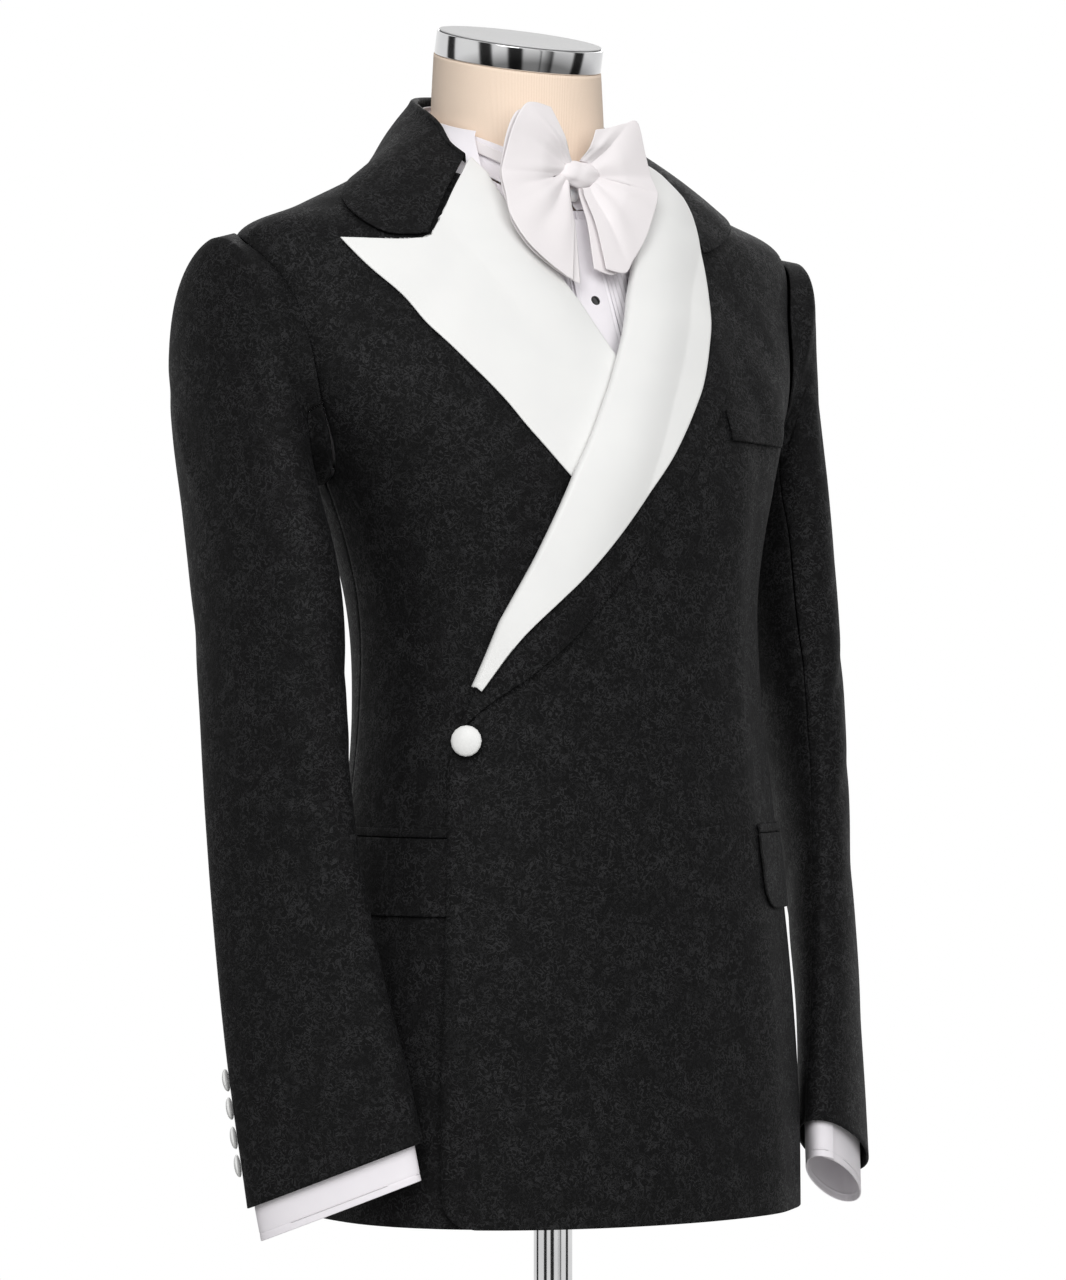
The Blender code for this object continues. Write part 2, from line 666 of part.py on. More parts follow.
def around_the_neck(left_sections, right_sections):
    """Sections from the left front round the back to the right front, as rows of points."""
    mirrored = [[to_side(point, -1) for point in section] for section in right_sections[-2::-1]]
    return list(zip(*(left_sections + mirrored)))


def collar_sections(table):
    sections = []
    for row in halfway(table):
        neckline = body_point(row.around, NECK_LINE)
        height = min(neckline.z + 1.6 * MM, row.height - 5 * MM)
        radius = max(neck_radius(neckline), row.radius - COLLAR_SHOULDER / 2)
        foot = neck_point(row.around, radius, height)
        sections.append(fold_section(row, COLLAR_LAYER, COLLAR_BULGE, COLLAR_SHOULDER, foot))
    return sections


COLLAR_LAYER = FIRST_LAYER + 0.8 * MM
COLLAR_SHOULDER, LEAF_SHOULDER = 2.6 * MM, 2.0 * MM
leaf_sections = []
for row in halfway(LEAF):
    leaf_sections.append(fold_section(row, LEAF_DEPTH, LEAF_BULGE, LEAF_SHOULDER, None))
collar = around_the_neck(collar_sections(COLLAR_LEFT), collar_sections(COLLAR_RIGHT))
cloth("jacket_collar", collar, PANEL_WALL, JACQUARD)
cloth("shirt_collar_leaf", around_the_neck(leaf_sections, leaf_sections), SHIRT_WALL, SHIRTING)


# The shirt --------------------------------------------------------------------------------
SHIRT_LINES = (0.6, 2, 3.3, 4.7, 6, 7, 8, 8.6, 9, 9.5, 10.2, 11, 11.5, NECK_LINE)
FRONT_AROUNDS = (0.12, 16, 33, 50, 66, 79, 90, 95.9)
BACK_AROUNDS = (96.1, 105, 120, 140, 160)
shirt_back = [*BACK_AROUNDS, 180, *(360 - around for around in BACK_AROUNDS[::-1])]
for name, arounds in (
    ("shirt_front_left", FRONT_AROUNDS),
    ("shirt_front_right", [-around for around in FRONT_AROUNDS[::-1]]),
    ("shirt_back", shirt_back),
):
    rows = [[on_body(around, line, SHIRT_DEPTH) for around in arounds] for line in SHIRT_LINES]
    cloth(name, rows, SHIRT_WALL, SHIRTING)

PLACKET_HALF = 8.5
PLACKET_DEPTH = SHIRT_DEPTH + SHIRT_WALL + LAYER_GAP
PLACKET_LINES = (0.6, 2, 3.3, 4.7, 6, 7, 8, 8.7, 9.3, 10, 10.7, 11.4)
placket = []
for line in PLACKET_LINES:
    arounds = spread(-PLACKET_HALF, PLACKET_HALF, 2)
    placket.append([on_body(around, line, PLACKET_DEPTH) for around in arounds])
cloth("shirt_placket", placket, SHIRT_WALL, SHIRTING)


def stand_foot(row):
    foot = on_body(row.around, NECK_LINE, SHIRT_DEPTH)
    return neck_point(row.around, neck_radius(foot), foot.z + 1.3 * MM)


stand_sections, band_sections = [], []
for row in halfway(STAND):
    foot = stand_foot(row)
    knee_height = foot.z + STAND_KNEE
    knee = neck_point(row.around, row.top_radius + STAND_LEAN, knee_height)
    stand_sections.append([foot, knee, neck_point(row.around, row.top_radius, row.top_height)])
    band = []
    for height in (row.band_height - BAND_HALF_HEIGHT, row.band_height + BAND_HALF_HEIGHT):
        part = (height - knee_height) / (row.top_height - knee_height)
        lean = mixed(STAND_LEAN, 0, part) + SHIRT_WALL + LAYER_GAP
        band.append(neck_point(row.around, row.top_radius + lean, height))
    band_sections.append(band)
cloth("shirt_collar_stand", around_the_neck(stand_sections, stand_sections), SHIRT_WALL, SHIRTING)
cloth("bow_tie_band", around_the_neck(band_sections, band_sections), SILK_WALL, BOW_SILK)
pearl_stands = STAND_LEAN + SHIRT_WALL + 2 * SEAM_GAP + PEARL_BUTTON.shank
pearl_place = neck_point(0, STAND[0].top_radius + pearl_stands, PEARL_HEIGHT)
button("shirt_button_pearl", PEARL_BUTTON, PEARL, pearl_place, Vector((0, -1, 0)))
stud_line = line_at(0, STUD_HEIGHT)
stud_place = on_body(0, stud_line, PLACKET_DEPTH + SHIRT_WALL + 2 * SEAM_GAP)
button("shirt_stud", STUD, ONYX, stud_place, body_normal(0, stud_line))


# The bow tie ------------------------------------------------------------------------------
def wing_rows(table, side, turn, behind):
    rows = []
    spin = math.radians(turn)
    for number, row in enumerate(table):
        angle = math.radians(row.leaves + turn)
        start = KNOT_CLEAR / math.hypot(math.cos(angle) / KNOT_HALF.x, math.sin(angle) / KNOT_HALF.z)
        end_across = row.across * math.cos(spin) - row.up * math.sin(spin)
        end_up = row.across * math.sin(spin) + row.up * math.cos(spin)
        folded = WING_FOLD * (1 if number % 2 else -1)
        points = []
        for part in (0, 0.3, 0.65, 1):
            across = mixed(start * math.cos(angle), end_across, part)
            up = mixed(start * math.sin(angle), end_up, part)
            front = mixed(KNOT.y, WING_FRONT, eased(part * 2)) - CHEST_LEAN * max(0.0, -up)
            depth = front + folded * part + behind * mixed(0.75, 1, part)
            points.append(Vector((side * across, depth, KNOT.z + up)))
        rows.append(points)
    return rows


KNOT_CLEAR = 1.4
BEHIND = 4.6 * MM
for name, side, table in (("left", 1, WING_LEFT), ("right", -1, WING_RIGHT)):
    front_layer, back_layer = wing_rows(table, side, 0, 0), wing_rows(table, side, WING_TURN, BEHIND)
    cloth("bow_wing_front_" + name, front_layer, SILK_WALL, BOW_SILK, side > 0)
    cloth("bow_wing_back_" + name, back_layer, SILK_WALL, BOW_SILK, side > 0)

KNOT_SHAPE = ((-1, 0.75), (-0.8, 1.0), (0, 0.86), (0.8, 1.0), (1, 0.75))
knot = []
for along, full in KNOT_SHAPE:
    ring = []
    for angle in spread(0, 2 * math.pi, 12)[:-1]:
        offset = Vector((along, full * math.cos(angle), full * math.sin(angle)))
        ring.append(KNOT + offset * KNOT_HALF)
    knot.append(ring)
loft("bow_knot", knot, BOW_SILK)


# The pockets and the buttons --------------------------------------------------------------
def patch(side, first, last, low, high, columns, rows, corner=0.0):
    """Rows of a patch laid on a front, with its forward lower corner rounded."""
    made = []
    for height in spread(low, high, rows):
        drop = max(0.0, 1 - (height - low) / corner) if corner else 0.0
        inset = math.degrees(corner / 0.15) * (1 - math.sqrt(1 - drop * drop))
        row = []
        for own in spread(first + inset, last, columns):
            over = left_over(own, height) if side > 0 else 0
            row.append(at_height(own * side, height, FIRST_LAYER + over))
        made.append(row)
    return made


for name, side in (("left", 1), ("right", -1)):
    jet = patch(side, POCKET_FROM, POCKET_TO, JET_TOP - JET_HEIGHT, JET_TOP, 8, 1)
    flap = patch(side, POCKET_FROM, POCKET_TO, FLAP_BOTTOM, FLAP_TOP, 8, 6, FLAP_CORNER)
    cloth("pocket_jet_" + name, jet, FACING_WALL, JACQUARD, side < 0)
    cloth("pocket_flap_" + name, flap, FACING_WALL, JACQUARD, side < 0)
welt = patch(1, WELT_FROM, WELT_TO, WELT_BOTTOM, WELT_TOP, 6, 1)
cloth("breast_welt", welt, FACING_WALL, JACQUARD)

button_line = line_at(WAIST_BUTTON_AROUND, WAIST_BUTTON_HEIGHT)
button_lift = LEFT_OVER + LEFT_OVER_LAPEL + FIRST_LAYER + FACING_WALL + 2 * SEAM_GAP
button_place = on_body(WAIST_BUTTON_AROUND, button_line, button_lift)
button("front_button", WAIST_BUTTON, SATIN, button_place, body_normal(WAIST_BUTTON_AROUND, button_line))

# The form and its stand -------------------------------------------------------------------
FORM_LINES = (1, 1.8, 2.6, 3.4, 4.2, 5, 6, 7, 8, 8.6, 9, 9.5, 10.2, 11)
FORM_POINTS = spread(-180, 180, 24)[:-1]
Neck = namedtuple("Neck", "height radius tilt")
NECK = (Neck(1.4230, 0.0640, 1.0), Neck(1.4450, 0.0615, 0.6), Neck(1.4600, 0.0607, 0.2))
form = [[on_body(around, line, FORM_DEPTH) for around in FORM_POINTS] for line in FORM_LINES]
for point in form[0]:
    point.z = FORM_BOTTOM
top_slope = math.tan(CAP_SLOPE)
for row in NECK:
    ring = []
    for around in FORM_POINTS:
        ahead = math.cos(math.radians(around))
        rise = GIRTHS[NECK_LINE].front_rise if ahead > 0 else GIRTHS[NECK_LINE].back_rise
        height = row.height + mixed(-NECK_RADIUS * top_slope * ahead, rise * ahead * ahead, row.tilt)
        ring.append(neck_point(around, row.radius, height))
    form.append(ring)
top = []
for around in FORM_POINTS:
    rise = -NECK_RADIUS * math.cos(math.radians(around)) * top_slope
    top.append(neck_point(around, NECK_RADIUS, NECK_TOP + rise))
form.append(top)
loft("form_body", form, JERSEY)

tilt = Matrix.Rotation(CAP_SLOPE, 4, "X")
neck_top = Matrix.Translation((0, NECK_CENTRE_Y, NECK_TOP)) @ tilt
band_low, band_high = SEAM_GAP, SEAM_GAP + BAND_DEPTH
plate_low = band_high + SEAM_GAP
plate_high = plate_low + PLATE_DEPTH
EASE = 0.8 * MM
band_profile = (
    (0, band_low),
    (NECK_RADIUS, band_low),
    (NECK_RADIUS, band_high - EASE),
    (NECK_RADIUS - EASE, band_high),
    (0, band_high),
)
plate_profile = ((0, plate_low), (PLATE_RADIUS, plate_low), (PLATE_RADIUS, plate_high), (0, plate_high))
pole_profile = (
    (0, BASE_HEIGHT + SEAM_GAP),
    (POLE_RADIUS, BASE_HEIGHT + SEAM_GAP),
    (POLE_RADIUS, FORM_BOTTOM - SEAM_GAP),
    (0, FORM_BOTTOM - SEAM_GAP),
)
BASE_EASE = 2.5 * MM
base_profile = (
    (0, 0),
    (BASE_RADIUS, 0),
    (BASE_RADIUS, BASE_HEIGHT - BASE_EASE),
    (BASE_RADIUS - BASE_EASE, BASE_HEIGHT),
    (0, BASE_HEIGHT),
)
turned("neck_band", band_profile, 40, CHROME, neck_top)
turned("neck_plate", plate_profile, 40, PLATE, neck_top)
turned("stand_pole", pole_profile, 20, CHROME)
turned("stand_base", base_profile, 40, CHROME)
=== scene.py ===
# %% [markdown]
# # A tuxedo on a dress form
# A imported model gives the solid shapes. This lesson dresses each of them in finer cloth:
# every piece is a grid that is laid on the same curves as its solid, thickened to a thin
# wall and given a woven finish. Sizes are in metres, the front faces -Y and Z is up.

import math

import bmesh
import bpy
import numpy as np
from mathutils import Matrix, Vector


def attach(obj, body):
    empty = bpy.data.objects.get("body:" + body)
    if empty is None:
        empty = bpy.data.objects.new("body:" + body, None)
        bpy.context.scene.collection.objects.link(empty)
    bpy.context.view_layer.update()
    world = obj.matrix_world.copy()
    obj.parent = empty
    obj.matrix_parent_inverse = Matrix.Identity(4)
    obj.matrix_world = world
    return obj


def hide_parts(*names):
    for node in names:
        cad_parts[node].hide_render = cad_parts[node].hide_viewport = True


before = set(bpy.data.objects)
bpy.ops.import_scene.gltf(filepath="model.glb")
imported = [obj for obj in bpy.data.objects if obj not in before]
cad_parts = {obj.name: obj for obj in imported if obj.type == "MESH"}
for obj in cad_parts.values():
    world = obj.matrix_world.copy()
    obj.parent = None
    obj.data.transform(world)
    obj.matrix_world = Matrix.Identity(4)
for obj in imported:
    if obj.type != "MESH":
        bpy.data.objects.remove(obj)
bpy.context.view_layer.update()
MM = 0.001
print("the frame has", len(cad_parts), "solids")

# %% [markdown]
# ## The camera
# The photo is taken to be shot level with the waist from about four metres, a third of the way
# round to the wearer's right. A long lens keeps the lines of the body nearly parallel.

# %% Camera
AZIMUTH, DISTANCE, CAMERA_HEIGHT, ASIDE = math.radians(-33), 4.0, 1.08, -0.014
LENS_MM = 160.7
camera = bpy.data.objects.new("camera", bpy.data.cameras.new("camera"))
bpy.context.scene.collection.objects.link(camera)
ahead = Vector((-math.sin(AZIMUTH), math.cos(AZIMUTH), 0))
across = Vector((math.cos(AZIMUTH), math.sin(AZIMUTH), 0))
camera.location = -ahead * DISTANCE + across * ASIDE + Vector((0, 0, CAMERA_HEIGHT))
camera.rotation_euler = (math.radians(90), 0, AZIMUTH)
camera.data.lens = LENS_MM
bpy.context.scene.camera = camera
print("camera at", [round(value, 3) for value in camera.location])

# %% [markdown]
# ## Sizes
# These are the sizes that the solids were made from. A girth is a line round the body, from
# the hem up to the neck. The garment's layers lie on it, each a set distance out.

# %% Sizes of the body
PANEL_WALL, FACING_WALL, SHIRT_WALL, SILK_WALL = 1.6 * MM, 1.4 * MM, 1.2 * MM, 1.0 * MM
LAYER_GAP = 1.2 * MM
FIRST_LAYER = PANEL_WALL + LAYER_GAP
SHAWL_LAYER = FIRST_LAYER + FACING_WALL + LAYER_GAP + 0.8 * MM
LEFT_OVER, LEFT_OVER_LAPEL = FIRST_LAYER, 3.8 * MM
SHIRT_DEPTH, LEAF_DEPTH, FORM_DEPTH = -9 * MM, -6.9 * MM, -14 * MM
HEM_HEIGHT, ARMHOLE_BOTTOM, SHOULDER_TIP = 0.683, 1.190, 1.357
ARMHOLE_MIDDLE, ARMHOLE_HALF_ANGLE = 96.0, 15.0
NECK_CENTRE_Y, NECK_RADIUS, NECK_TOP = 0.046, 0.0592, 1.4875
# height, half width, front, back, centre, front rise, back rise, front square, back square
GIRTHS = np.array((
    (HEM_HEIGHT, 0.1755, 0.137, 0.136, -0.001, 0.000, 0.000, 2.2, 2.2),
    (0.760, 0.1740, 0.134, 0.135, -0.002, 0.000, 0.000, 2.2, 2.2),
    (0.850, 0.1670, 0.126, 0.127, -0.005, 0.000, 0.000, 2.2, 2.2),
    (0.940, 0.1565, 0.115, 0.119, -0.008, 0.000, 0.000, 2.2, 2.2),
    (1.030, 0.1475, 0.108, 0.114, -0.006, 0.000, 0.000, 2.2, 2.2),
    (1.110, 0.1475, 0.112, 0.118, 0.002, 0.000, 0.000, 2.2, 2.2),
    (ARMHOLE_BOTTOM, 0.1680, 0.117, 0.127, 0.011, 0.000, 0.002, 2.2, 2.3),
    (1.250, 0.199, 0.110, 0.123, 0.022, -0.004, 0.006, 2.1, 2.3),
    (1.305, 0.216, 0.104, 0.114, 0.034, -0.016, 0.012, 1.8, 2.2),
    (SHOULDER_TIP, 0.221, 0.097, 0.104, 0.042, -0.030, 0.018, 1.5, 2.1),
    (1.381, 0.170, 0.090, 0.092, 0.045, -0.031, 0.022, 1.6, 2.0),
    (1.406, 0.1145, 0.086, 0.084, 0.046, -0.038, 0.020, 1.8, 2.0),
    (1.427, 0.085, 0.082, 0.078, 0.046, -0.046, 0.016, 2.0, 2.0),
))
NECK_LINE, CHEST_LINE = len(GIRTHS) - 1, 6
BODY_RADIUS = 0.15  # the body's mean radius, which turns a length round it into degrees
SEAM_HALF_GAP = 0.15 * MM
BUTTON_GAP = 0.6 * MM


# %% [markdown]
# A smooth curve through the girths gives the body between them. The same curve later
# refines every cloth, so a fine piece keeps the form of its solid.

# %% The body's surface
def smooth(values, place):
    """A curve through values one step apart, read at each of these places."""
    values, place = np.asarray(values, float), np.asarray(place, float)
    last = len(values) - 1
    low = np.clip(np.floor(place).astype(int), 0, last - 1)
    part = (place - low).reshape(place.shape + (1,) * (values.ndim - 1))
    before, start = values[np.maximum(low - 1, 0)], values[low]
    end, after = values[low + 1], values[np.minimum(low + 2, last)]
    bend = 2 * before - 5 * start + 4 * end - after
    twist = 3 * (start - end) + after - before
    return start + 0.5 * part * (end - before + part * (bend + part * twist))


def unit(vectors):
    return vectors / np.maximum(np.linalg.norm(vectors, axis=-1, keepdims=True), 1e-12)


def body_point(around, line):
    around, line = np.broadcast_arrays(np.radians(around), np.asarray(line, float))
    row = smooth(GIRTHS, line)
    height, half_width, front, back, centre = (row[..., k] for k in range(5))
    side, forward = np.sin(around), np.cos(around)
    faces_front = forward > 0
    depth = np.where(faces_front, front, back)
    rise = np.where(faces_front, row[..., 5], row[..., 6])
    power = np.where(faces_front, row[..., 7], row[..., 8])
    radius = (np.abs(side / half_width) ** power + np.abs(forward / depth) ** power) ** (-1 / power)
    return np.stack((radius * side, centre - radius * forward, height + rise * forward**2), -1)


def on_body(around, line, lift):
    """A point this far out from the body's surface."""
    around, line = np.broadcast_arrays(np.asarray(around, float), np.asarray(line, float))
    low, high = np.maximum(line - 0.02, 0), np.minimum(line + 0.02, NECK_LINE)
    along = body_point(around, high) - body_point(around, low)
    sideways = body_point(around + 1, line) - body_point(around - 1, line)
    normal = unit(np.cross(sideways, along))
    return body_point(around, line) + normal * np.broadcast_to(lift, line.shape)[..., None]


def line_at(around, height):
    around, height = np.broadcast_arrays(np.asarray(around, float), np.asarray(height, float))
    low, high = np.zeros(height.shape), np.full(height.shape, float(NECK_LINE))
    for _ in range(22):
        middle = (low + high) / 2
        below = body_point(around, middle)[..., 2] < height
        low, high = np.where(below, middle, low), np.where(below, high, middle)
    return (low + high) / 2


def at_height(around, height, lift):
    return on_body(around, line_at(around, height), lift)


def eased(value):
    value = np.clip(value, 0.0, 1.0)
    return value * value * (3 - 2 * value)


def mixed(start, end, part):
    return start + (end - start) * part


chest = body_point(np.arange(0, 361, 2.0), float(CHEST_LINE))
chest_girth = np.linalg.norm(np.diff(chest, axis=0), axis=1).sum()
print("chest girth", round(float(chest_girth), 3), "m")

# %% [markdown]
# ## Finishes
# Every colour is typed as the eye sees it and turned to linear light. One helper adds a
# shader node with its settings, its fixed inputs and its links.

# %% Colour and node helpers
def linear(hex_colour):
    """An sRGB colour, turned to linear light by the sRGB curve."""
    values = [int(hex_colour[k:k + 2], 16) / 255 for k in (1, 3, 5)]
    return (*(v / 12.92 if v <= 0.04045 else ((v + 0.055) / 1.055) ** 2.4 for v in values), 1)


def add_node(material, kind, inputs=None, **settings):
    made = material.node_tree.nodes.new(kind)
    for name, value in settings.items():
        setattr(made, name, value)
    for socket, value in (inputs or {}).items():
        if isinstance(value, bpy.types.NodeSocket):
            material.node_tree.links.new(value, made.inputs[socket])
        else:
            made.inputs[socket].default_value = value
    return made


def new_finish(name, **sockets):
    """A material with these fixed values on its own shader."""
    made = bpy.data.materials.new(name)
    made.use_nodes = True
    shader = made.node_tree.nodes["Principled BSDF"]
    for socket, value in sockets.items():
        shader.inputs[socket.replace("_", " ")].default_value = value
    return made, shader


def ramp(material, factor, stops):
    made = add_node(material, "ShaderNodeValToRGB", {0: factor})
    made.color_ramp.elements[0].position, made.color_ramp.elements[1].position = stops[0][0], stops[-1][0]
    made.color_ramp.elements[0].color, made.color_ramp.elements[1].color = stops[0][1], stops[-1][1]
    for position, colour in stops[1:-1]:
        made.color_ramp.elements.new(position).color = colour
    return made


def grey(value):
    return (value, value, value, 1)


# %% [markdown]
# ### Black jacquard
# The suiting is taken to be a wool and silk blend, woven on a jacquard loom. Curled flecks,
# in loose clusters of about 16 mm, stand in slightly lighter yarn on a near-black ground. The
# middle values of a noise are thin curled lines, which make the flecks; a wider noise gathers
# them and a fine one breaks them up. The real yarns are 0.3 mm apart, too fine to show, so
# the weave's bump is drawn at about 1.1 mm.

# %% Black jacquard
FLECK_SIZE, CLUSTER_SIZE, YARN_SIZE, WEAVE_SIZE = 4.6 * MM, 16 * MM, 1.2 * MM, 1.1 * MM


def jacquard_finish(name):
    cloth_finish, shader = new_finish(
        name, Roughness=0.62, Sheen_Weight=0.03, Sheen_Roughness=0.45,
        Sheen_Tint=linear("#8d8d92"), Specular_IOR_Level=0.10,
    )
    place = add_node(cloth_finish, "ShaderNodeTexCoord").outputs["Object"]
    fleck = add_node(
        cloth_finish, "ShaderNodeTexNoise",
        {"Vector": place, "Scale": 1 / FLECK_SIZE, "Detail": 2.0, "Roughness": 0.6, "Distortion": 1.2},
    )
    curled = ramp(cloth_finish, fleck.outputs[0], ((0.44, grey(0)), (0.50, grey(1)), (0.56, grey(0))))
    cluster = add_node(
        cloth_finish, "ShaderNodeTexNoise",
        {"Vector": place, "Scale": 1 / CLUSTER_SIZE, "Detail": 3.0, "Roughness": 0.6, "Distortion": 0.6},
    )
    gather = add_node(
        cloth_finish, "ShaderNodeMapRange", {0: cluster.outputs[0], 1: 0.36, 2: 0.60, 3: 0.25, 4: 1.0},
    )
    gathered = add_node(
        cloth_finish, "ShaderNodeMath", {0: curled.outputs[0], 1: gather.outputs[0]}, operation="MULTIPLY",
    )
    yarn = add_node(
        cloth_finish, "ShaderNodeTexNoise", {"Vector": place, "Scale": 1 / YARN_SIZE, "Detail": 2.0},
    )
    shape = add_node(
        cloth_finish, "ShaderNodeMath", {0: yarn.outputs[0], 1: 0.36, 2: gathered.outputs[0]},
        operation="MULTIPLY_ADD",
    )
    ground = linear("#040404")
    thread = linear("#2b2b2c")
    colour = add_node(
        cloth_finish, "ShaderNodeMix", {0: shape.outputs[0], 6: ground, 7: thread}, data_type="RGBA",
    )
    weave = add_node(
        cloth_finish, "ShaderNodeTexVoronoi", {"Vector": place, "Scale": 1 / WEAVE_SIZE, "Randomness": 0.75},
    )
    relief = add_node(
        cloth_finish, "ShaderNodeMath", {0: shape.outputs[0], 1: 0.9, 2: weave.outputs["Distance"]},
        operation="MULTIPLY_ADD",
    )
    bump = add_node(
        cloth_finish, "ShaderNodeBump",
        {"Height": relief.outputs[0], "Strength": 0.35, "Distance": 0.30 * MM},
    )
    rough = add_node(cloth_finish, "ShaderNodeMapRange", {0: shape.outputs[0], 3: 0.72, 4: 0.50})
    links = cloth_finish.node_tree.links
    links.new(colour.outputs[2], shader.inputs["Base Color"])
    links.new(rough.outputs[0], shader.inputs["Roughness"])
    links.new(bump.outputs[0], shader.inputs["Normal"])
    return cloth_finish


BLACK_JACQUARD = jacquard_finish("black jacquard")
print("finish:", BLACK_JACQUARD.name)


# %% [markdown]
# ### White cloths
# The lapels are duchesse satin, whose long floats give a broad soft gloss. The shirt is a
# fine cotton poplin and the tie a soft silk with a crepe grain. Each is a near-white with
# its own gloss, a fine bump drawn coarser than the yarn, and a faint mottling.

# %% White satin, poplin and tie silk
MOTTLE_SIZE = 35 * MM


def white_finish(name, colour, shade, rough, sheen, grain_mm, grain_height, stretch=(1, 1, 1)):
    cloth_finish, shader = new_finish(
        name, Roughness=rough, Sheen_Weight=sheen, Sheen_Roughness=0.3, Specular_IOR_Level=0.5,
    )
    place = add_node(cloth_finish, "ShaderNodeTexCoord").outputs["Object"]
    stretched = add_node(cloth_finish, "ShaderNodeMapping", {"Vector": place, "Scale": stretch})
    grain = add_node(
        cloth_finish, "ShaderNodeTexNoise",
        {"Vector": stretched.outputs[0], "Scale": 1 / (grain_mm * MM), "Detail": 2.0, "Roughness": 0.6},
    )
    mottle = add_node(
        cloth_finish, "ShaderNodeTexNoise", {"Vector": place, "Scale": 1 / MOTTLE_SIZE, "Detail": 2.0},
    )
    tint = add_node(
        cloth_finish, "ShaderNodeMix",
        {0: mottle.outputs[0], 6: linear(colour), 7: linear(shade)}, data_type="RGBA",
    )
    bump = add_node(
        cloth_finish, "ShaderNodeBump",
        {"Height": grain.outputs[0], "Strength": 0.35, "Distance": grain_height * MM},
    )
    vary = add_node(
        cloth_finish, "ShaderNodeMapRange", {0: grain.outputs[0], 3: rough - 0.05, 4: rough + 0.07},
    )
    links = cloth_finish.node_tree.links
    links.new(tint.outputs[2], shader.inputs["Base Color"])
    links.new(vary.outputs[0], shader.inputs["Roughness"])
    links.new(bump.outputs[0], shader.inputs["Normal"])
    return cloth_finish


WHITE_SATIN = white_finish("white duchesse satin", "#eeeeec", "#e7e7e6", 0.42, 0.10, 0.9, 0.05, (1, 1, 0.25))
WHITE_POPLIN = white_finish("white cotton poplin", "#f6f2f6", "#eeeaef", 0.72, 0.10, 0.8, 0.10)
BOW_SILK = white_finish("white crepe silk", "#f3eeef", "#eae5e6", 0.52, 0.16, 1.2, 0.14)
print("finishes:", WHITE_SATIN.name, WHITE_POPLIN.name, BOW_SILK.name)

# %% [markdown]
# ### Jersey, metal and buttons
# The form wears a cotton rib jersey. Its ribs run up the neck about 1.6 mm apart and are drawn
# at 2 mm, on the piece's own UV map so that they turn with the neck. A wave texture's bands lie
# pi / 10 apart at scale 1, which gives the scale for 2 mm. The band and the pole are polished
# chrome plate. The pearl button has a clear coat over a cloudy body.

# %% Jersey
RIB_SPACING, STITCH_SIZE = 2.0 * MM, 1.5 * MM
JERSEY, jersey_shader = new_finish(
    "cotton rib jersey", Roughness=0.88, Sheen_Weight=0.15, Sheen_Roughness=0.5, Specular_IOR_Level=0.2,
)
jersey_map = add_node(JERSEY, "ShaderNodeUVMap").outputs[0]
ribs = add_node(
    JERSEY, "ShaderNodeTexWave",
    {
        "Vector": jersey_map, "Scale": math.pi / 10 / RIB_SPACING, "Distortion": 0.5, "Detail": 1.0,
        "Detail Scale": 3.0,
    },
    bands_direction="X",
)
stitches = add_node(
    JERSEY, "ShaderNodeTexNoise", {"Vector": jersey_map, "Scale": 1 / STITCH_SIZE, "Detail": 2.0},
)
knit = add_node(
    JERSEY, "ShaderNodeMath", {0: stitches.outputs[0], 1: 0.5, 2: ribs.outputs["Fac"]},
    operation="MULTIPLY_ADD",
)
# The colour follows the knit's relief: painted shade darkens the valleys between the ribs, over a random
# tone from the stitches.
jersey_colour_with_rib_shade = ramp(JERSEY, knit.outputs[0], ((0.1, linear("#ecd5bd")), (1.0, linear("#fce7d4"))))
jersey_bump = add_node(
    JERSEY, "ShaderNodeBump", {"Height": knit.outputs[0], "Strength": 0.4, "Distance": 0.25 * MM},
)
JERSEY.node_tree.links.new(jersey_colour_with_rib_shade.outputs[0], jersey_shader.inputs["Base Color"])
JERSEY.node_tree.links.new(jersey_bump.outputs[0], jersey_shader.inputs["Normal"])
print("finish:", JERSEY.name)


# %% Metal, plate and buttons
def metal_finish(name, light, dark, smudge_mm, rough):
    metal, shader = new_finish(name, Metallic=1.0)
    place = add_node(metal, "ShaderNodeTexCoord").outputs["Object"]
    smudge = add_node(
        metal, "ShaderNodeTexNoise", {"Vector": place, "Scale": 1 / (smudge_mm * MM), "Detail": 3.0},
    )
    colour = ramp(metal, smudge.outputs[0], ((0.3, linear(light)), (0.8, linear(dark))))
    vary = add_node(metal, "ShaderNodeMapRange", {0: smudge.outputs[0], 3: rough * 0.6, 4: rough * 1.6})
    metal.node_tree.links.new(colour.outputs[0], shader.inputs["Base Color"])
    metal.node_tree.links.new(vary.outputs[0], shader.inputs["Roughness"])
    return metal


def hard_finish(name, light, dark, grain_mm, rough, coat, shine=0.5):
    hard, shader = new_finish(
        name, Roughness=rough, Coat_Weight=coat, Coat_Roughness=0.08, Specular_IOR_Level=shine,
    )
    place = add_node(hard, "ShaderNodeTexCoord").outputs["Object"]
    cloud = add_node(
        hard, "ShaderNodeTexNoise", {"Vector": place, "Scale": 1 / (grain_mm * MM), "Detail": 3.0},
    )
    colour = ramp(hard, cloud.outputs[0], ((0.3, linear(light)), (0.75, linear(dark))))
    bump = add_node(
        hard, "ShaderNodeBump", {"Height": cloud.outputs[0], "Strength": 0.15, "Distance": 0.05 * MM},
    )
    hard.node_tree.links.new(colour.outputs[0], shader.inputs["Base Color"])
    hard.node_tree.links.new(bump.outputs[0], shader.inputs["Normal"])
    return hard


